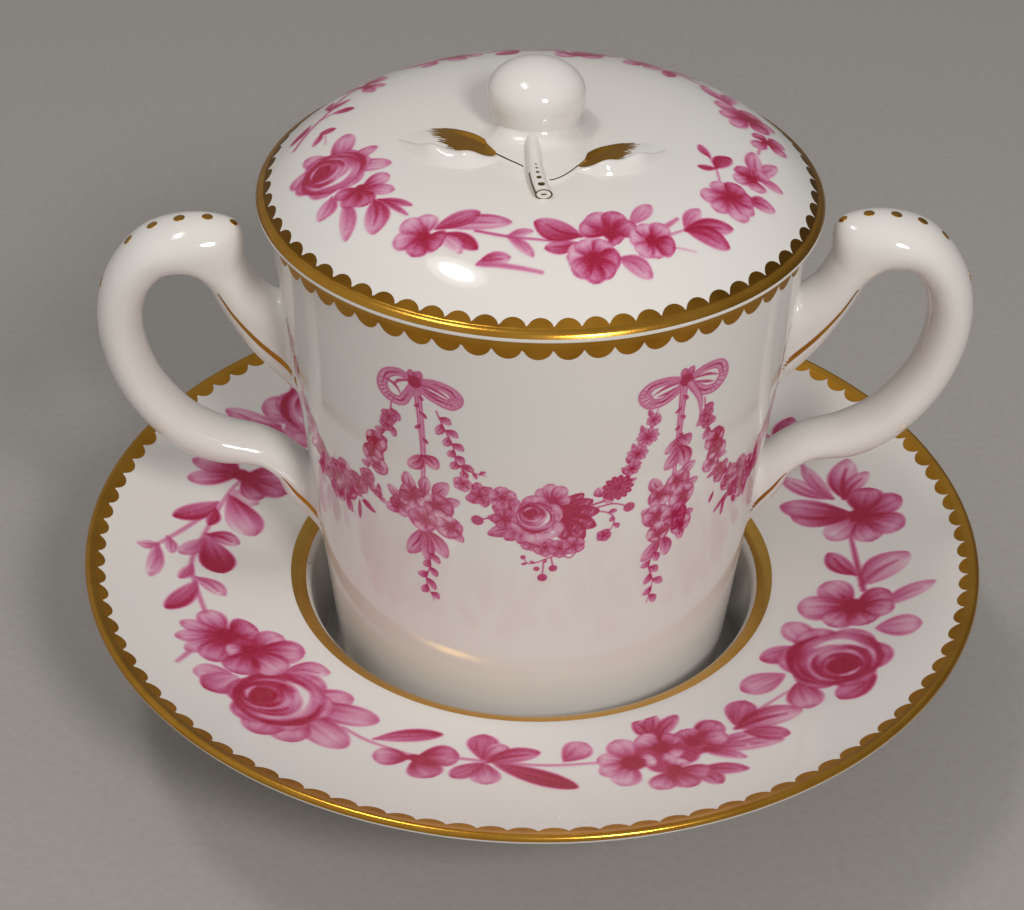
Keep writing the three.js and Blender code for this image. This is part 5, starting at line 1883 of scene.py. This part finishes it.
# Bows: the knot, each loop with its folds, and the short ends above.
BOWS = [
    {
        "knot": (-20, 89),
        "loops": [
            (
                [
                    (-20.4, 89.2), (-22.4, 90), (-24.6, 89), (-25.6, 86.6), (-24.8, 84.9), (-22.6, 84.5),
                    (-21.2, 86.4), (-20.2, 88.4),
                ],
                [[(-25, 88), (-23.4, 87.4), (-22.4, 85.8)], [(-21, 89), (-22.6, 88.4), (-23.6, 87.2)]],
            ),
            (
                [
                    (-19.4, 89.2), (-16.8, 89.6), (-14.4, 88.8), (-13.5, 87.5), (-14.4, 86.2), (-16.4, 86.6),
                    (-18.4, 87.6), (-19.8, 88.6),
                ],
                [[(-19, 88.8), (-16.6, 88.4), (-14.6, 87.2)], [(-18.6, 88.2), (-17, 87.6), (-15.4, 87)]],
            ),
        ],
        "tufts": [(-20.6, 91.2), (-18.9, 91.3)],
    },
    {
        "knot": (20.2, 88.9),
        "loops": [
            (
                [
                    (19.6, 89.1), (16.8, 89.8), (14.4, 89.4), (13.5, 88), (14.6, 86.1), (16.6, 86),
                    (18.6, 87.2), (20, 88.5),
                ],
                [[(19, 88.8), (16.8, 88.6), (14.8, 87.6)], [(18.4, 88), (17, 87.4), (15.6, 87.2)]],
            ),
            (
                [
                    (20.8, 89), (23.2, 90), (26.2, 89.6), (27.3, 87.2), (26, 85.4), (24, 85.5), (22, 87),
                    (20.6, 88.4),
                ],
                [[(21.4, 88.8), (24, 88.6), (26.2, 87.6)], [(22, 88), (24, 87.2), (25.4, 86.6)]],
            ),
        ],
        "tufts": [(19.4, 91.4), (21, 91.4)],
    },
]


def paint_cup(art):
    """One face of the cup: two bows with hanging sprays, and swags between and beside them."""
    for side in (-1, 1):
        paint_outer_swag(art, side)
    paint_middle_swag(art)
    for spray in (HANGING_LEFT, HANGING_RIGHT):
        paint_hanging_spray(art, spray)
    for bow in BOWS:
        paint_bow(art, **bow)
    art.stroke([(21, 88), (23.2, 84.3), (23.9, 81.2)], (1.4, 1.0, 0.4), 0.36, rim=0.5)
    # Small sprigs by the handles' upper roots
    for side in (-1, 1):
        art.sprig([(53.6 * side, 83), (54 * side, 80), (54.4 * side, 76.6)], 6, 1.6, 1.2, (DARK, DEEP))


# Painted panel on each face of the cup: the points' spacing, its half width, its heights, and the wall's
# radius on which it is laid flat.
CUP_SPACING = 0.15
PANEL_HALF = 57.0
PANEL_LOW, PANEL_HIGH = 41.5, 93.5
PANEL_RADIUS = 40.0
# The cup's smaller flowers are laid on thinner than the wreaths.
CUP_THINNING = 0.88


def ring_skins(name, profile, inner, outer, spacing, edge, streak, paint):
    """Quarters of a painted wreath on a turned top."""
    points = ring_grid(profile, inner, outer, spacing)
    art = Painting(points[..., :2].reshape(-1, 2), polar, edge, streak, seed=5)
    paint(art)
    pink = art.pink.reshape(points.shape[:2])
    quarter = (points.shape[1] - 1) // 4
    parts = [slice(k * quarter, (k + 1) * quarter + 1) for k in range(4)]
    return [painted_skin(f"{name}_{k + 1}", points[:, part], pink[:, part]) for k, part in enumerate(parts)]


def cup_skins():
    """Both painted faces of the cup, each as a left and a right half."""
    across = np.linspace(-PANEL_HALF, PANEL_HALF, 2 * int(PANEL_HALF / CUP_SPACING) + 1)
    heights = np.arange(PANEL_LOW, PANEL_HIGH, CUP_SPACING)
    height, run = crossed(heights, across)
    art = Painting(np.stack([run, height], axis=-1).reshape(-1, 2), wall, edge=0.2, streak=0.14, seed=9)
    paint_cup(art)
    pink = CUP_THINNING * art.pink.reshape(height.shape)
    radius = cup_wall_radius(height) + SKIN_LIFT
    angle = run / PANEL_RADIUS
    front = np.stack([radius * np.sin(angle), -radius * np.cos(angle), height], axis=-1)
    middle = len(across) // 2
    made = []
    for face, points in (("front", front), ("back", front * HALF_TURN)):
        made.append(painted_skin(f"painting_cup_{face}_left", points[:, :middle + 1], pink[:, :middle + 1]))
        made.append(painted_skin(f"painting_cup_{face}_right", points[:, middle:], pink[:, middle:]))
    return made


LID_TOP = dome_profile(steps=400)[::-1]
LID_WREATH = {"inner": 23, "outer": 42, "spacing": 0.2, "edge": 0.6, "streak": 0.09}
SAUCER_TOP = plate_profile(steps=400)[::-1]
SAUCER_WREATH = {"inner": 45.2, "outer": 73.5, "spacing": 0.24, "edge": 0.95, "streak": 0.1}
LID_SKINS = ring_skins("painting_lid", LID_TOP, **LID_WREATH, paint=paint_lid)
SAUCER_SKINS = ring_skins("painting_saucer", SAUCER_TOP, **SAUCER_WREATH, paint=paint_saucer)
PAINTED = [(skin, "lid") for skin in LID_SKINS] + [(skin, "saucer") for skin in SAUCER_SKINS]
PAINTED += [(skin, "cup") for skin in cup_skins()]

# Pieces on bodies

CLAY_PIECES = [
    (make_saucer(), "saucer", ["saucer"]),
    (make_cup(), "cup", ["cup_body"]),
    (make_handle("left"), "cup", ["handle_left"]),
    (make_handle("right"), "cup", ["handle_right"]),
    (make_lid(), "lid", ["lid"]),
    (make_bud(), "lid", ["finial_bud"]),
    (make_calyx(), "lid", []),
    (make_stalk(), "lid", ["finial_stalk"]),
    (make_leaf("left"), "lid", ["finial_leaf_left"]),
    (make_leaf("right"), "lid", ["finial_leaf_right"]),
]
for clay, body, nodes in CLAY_PIECES:
    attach(clay, body)
    if nodes:
        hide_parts(*nodes)

GILT_PIECES = make_bands() + [(make_stalk_gilding(), "lid"), (make_stalk_dots(), "lid")]
for side in ("left", "right"):
    GILT_PIECES += [(make_handle_dots(side), "cup"), (make_handle_lines(side), "cup")]
    GILT_PIECES.append((make_leaf_gold(side), "lid"))
for gilt, body in GILT_PIECES:
    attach(gilt, body)

for skin, body in PAINTED:
    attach(skin, body)


# Floor

def pale_floor():
    """Matt pale grey paper."""
    material, tree = new_material("matt_grey_paper")
    place = add(tree, "ShaderNodeTexCoord").outputs["Object"]
    # Paper fibres are finer than this, and are drawn as coarse as they need to show.
    fibre_size = 1.5
    fibre = add(tree, "ShaderNodeTexNoise", {"Vector": place, "Scale": 1 / (fibre_size * MM), "Detail": 4.0})
    greys = [(0.3, "#A5A19D"), (0.7, "#ABA7A3")]
    colour = add(tree, "ShaderNodeValToRGB", {"Fac": fibre.outputs["Fac"]}, stops=greys)
    matt_paper = {"Base Color": colour.outputs["Color"], "Roughness": 0.9}
    paper = add(tree, "ShaderNodeBsdfPrincipled", matt_paper)
    add(tree, "ShaderNodeOutputMaterial", {"Surface": paper.outputs["BSDF"]})
    return material


FLOOR_HALF = 3000.0
floor = piece(
    "floor",
    [(FLOOR_HALF * x, FLOOR_HALF * y, 0) for x, y in ((-1, -1), (1, -1), (1, 1), (-1, 1))],
    [(0, 1, 2, 3)],
    pale_floor(),
    smooth=False,
)

# Camera at the photograph's viewing angle

CAMERA_PLACE = Vector((-19.8, -343.4, 290.4)) * MM
CAMERA_AHEAD = Vector((0.0381, 0.8179, -0.5741)).normalized()
CAMERA_UP = Vector((0.0089, 0.5742, 0.8187))
CAMERA_LENS = 86.1

camera_data = bpy.data.cameras.new("camera")
camera_data.lens = CAMERA_LENS
camera_data.sensor_fit = "HORIZONTAL"
camera_data.sensor_width = 36.0
camera_data.clip_start = 0.01
camera = placed("camera", camera_data)
camera_right = CAMERA_AHEAD.cross(CAMERA_UP).normalized()
camera_up = camera_right.cross(CAMERA_AHEAD)
turn = Matrix((camera_right, camera_up, -CAMERA_AHEAD)).transposed().to_4x4()
camera.matrix_world = Matrix.Translation(CAMERA_PLACE) @ turn
bpy.context.scene.camera = camera

# Light: a soft lamp above on the left with a wider glow round it, one in front, and grey surroundings

LOOK_AT = Vector((0.0, 0.0, 0.07))
LAMP_WHITE = "#FFFDFA"


def lamp(name, direction, distance, size, power):
    """A soft white lamp that faces the object from a direction, with its distance and size in metres."""
    data = bpy.data.lights.new(name, "AREA")
    data.shape = "ELLIPSE"
    data.size, data.size_y = size
    data.energy = power
    data.color = linear(LAMP_WHITE)[:3]
    made = placed(name, data)
    away = Vector(direction).normalized()
    made.location = LOOK_AT + away * distance
    made.rotation_euler = away.to_track_quat("Z", "Y").to_euler()


KEY_SIDE = (-0.32, -0.03, 0.95)
lamp("key_lamp", KEY_SIDE, distance=0.80, size=(0.18, 0.10), power=0.7)
lamp("key_glow", KEY_SIDE, distance=0.81, size=(0.30, 0.19), power=0.4)
lamp("front_lamp", (0.27, -0.76, 0.60), distance=0.90, size=(0.19, 0.19), power=3.6)

# Surroundings: a plain grey room, lighter above on the left
LIGHT_SIDE = (-0.6, -0.48, 0.64)
world = bpy.data.worlds.new("grey_room")
world.use_nodes = True
room = world.node_tree
direction = add(room, "ShaderNodeTexCoord").outputs["Generated"]
towards = add(room, "ShaderNodeVectorMath", {0: direction, 1: LIGHT_SIDE}, operation="DOT_PRODUCT")
shade = add(room, "ShaderNodeMapRange", {"Value": towards.outputs["Value"], "From Min": -1.0})
ROOM_GREYS = [(0.0, "#484746"), (1.0, "#B5B3B1")]
room_grey = add(room, "ShaderNodeValToRGB", {"Fac": shade.outputs["Result"]}, stops=ROOM_GREYS)
room.links.new(room_grey.outputs["Color"], room.nodes["Background"].inputs["Color"])
bpy.context.scene.world = world
bpy.context.scene.view_settings.view_transform = "Standard"
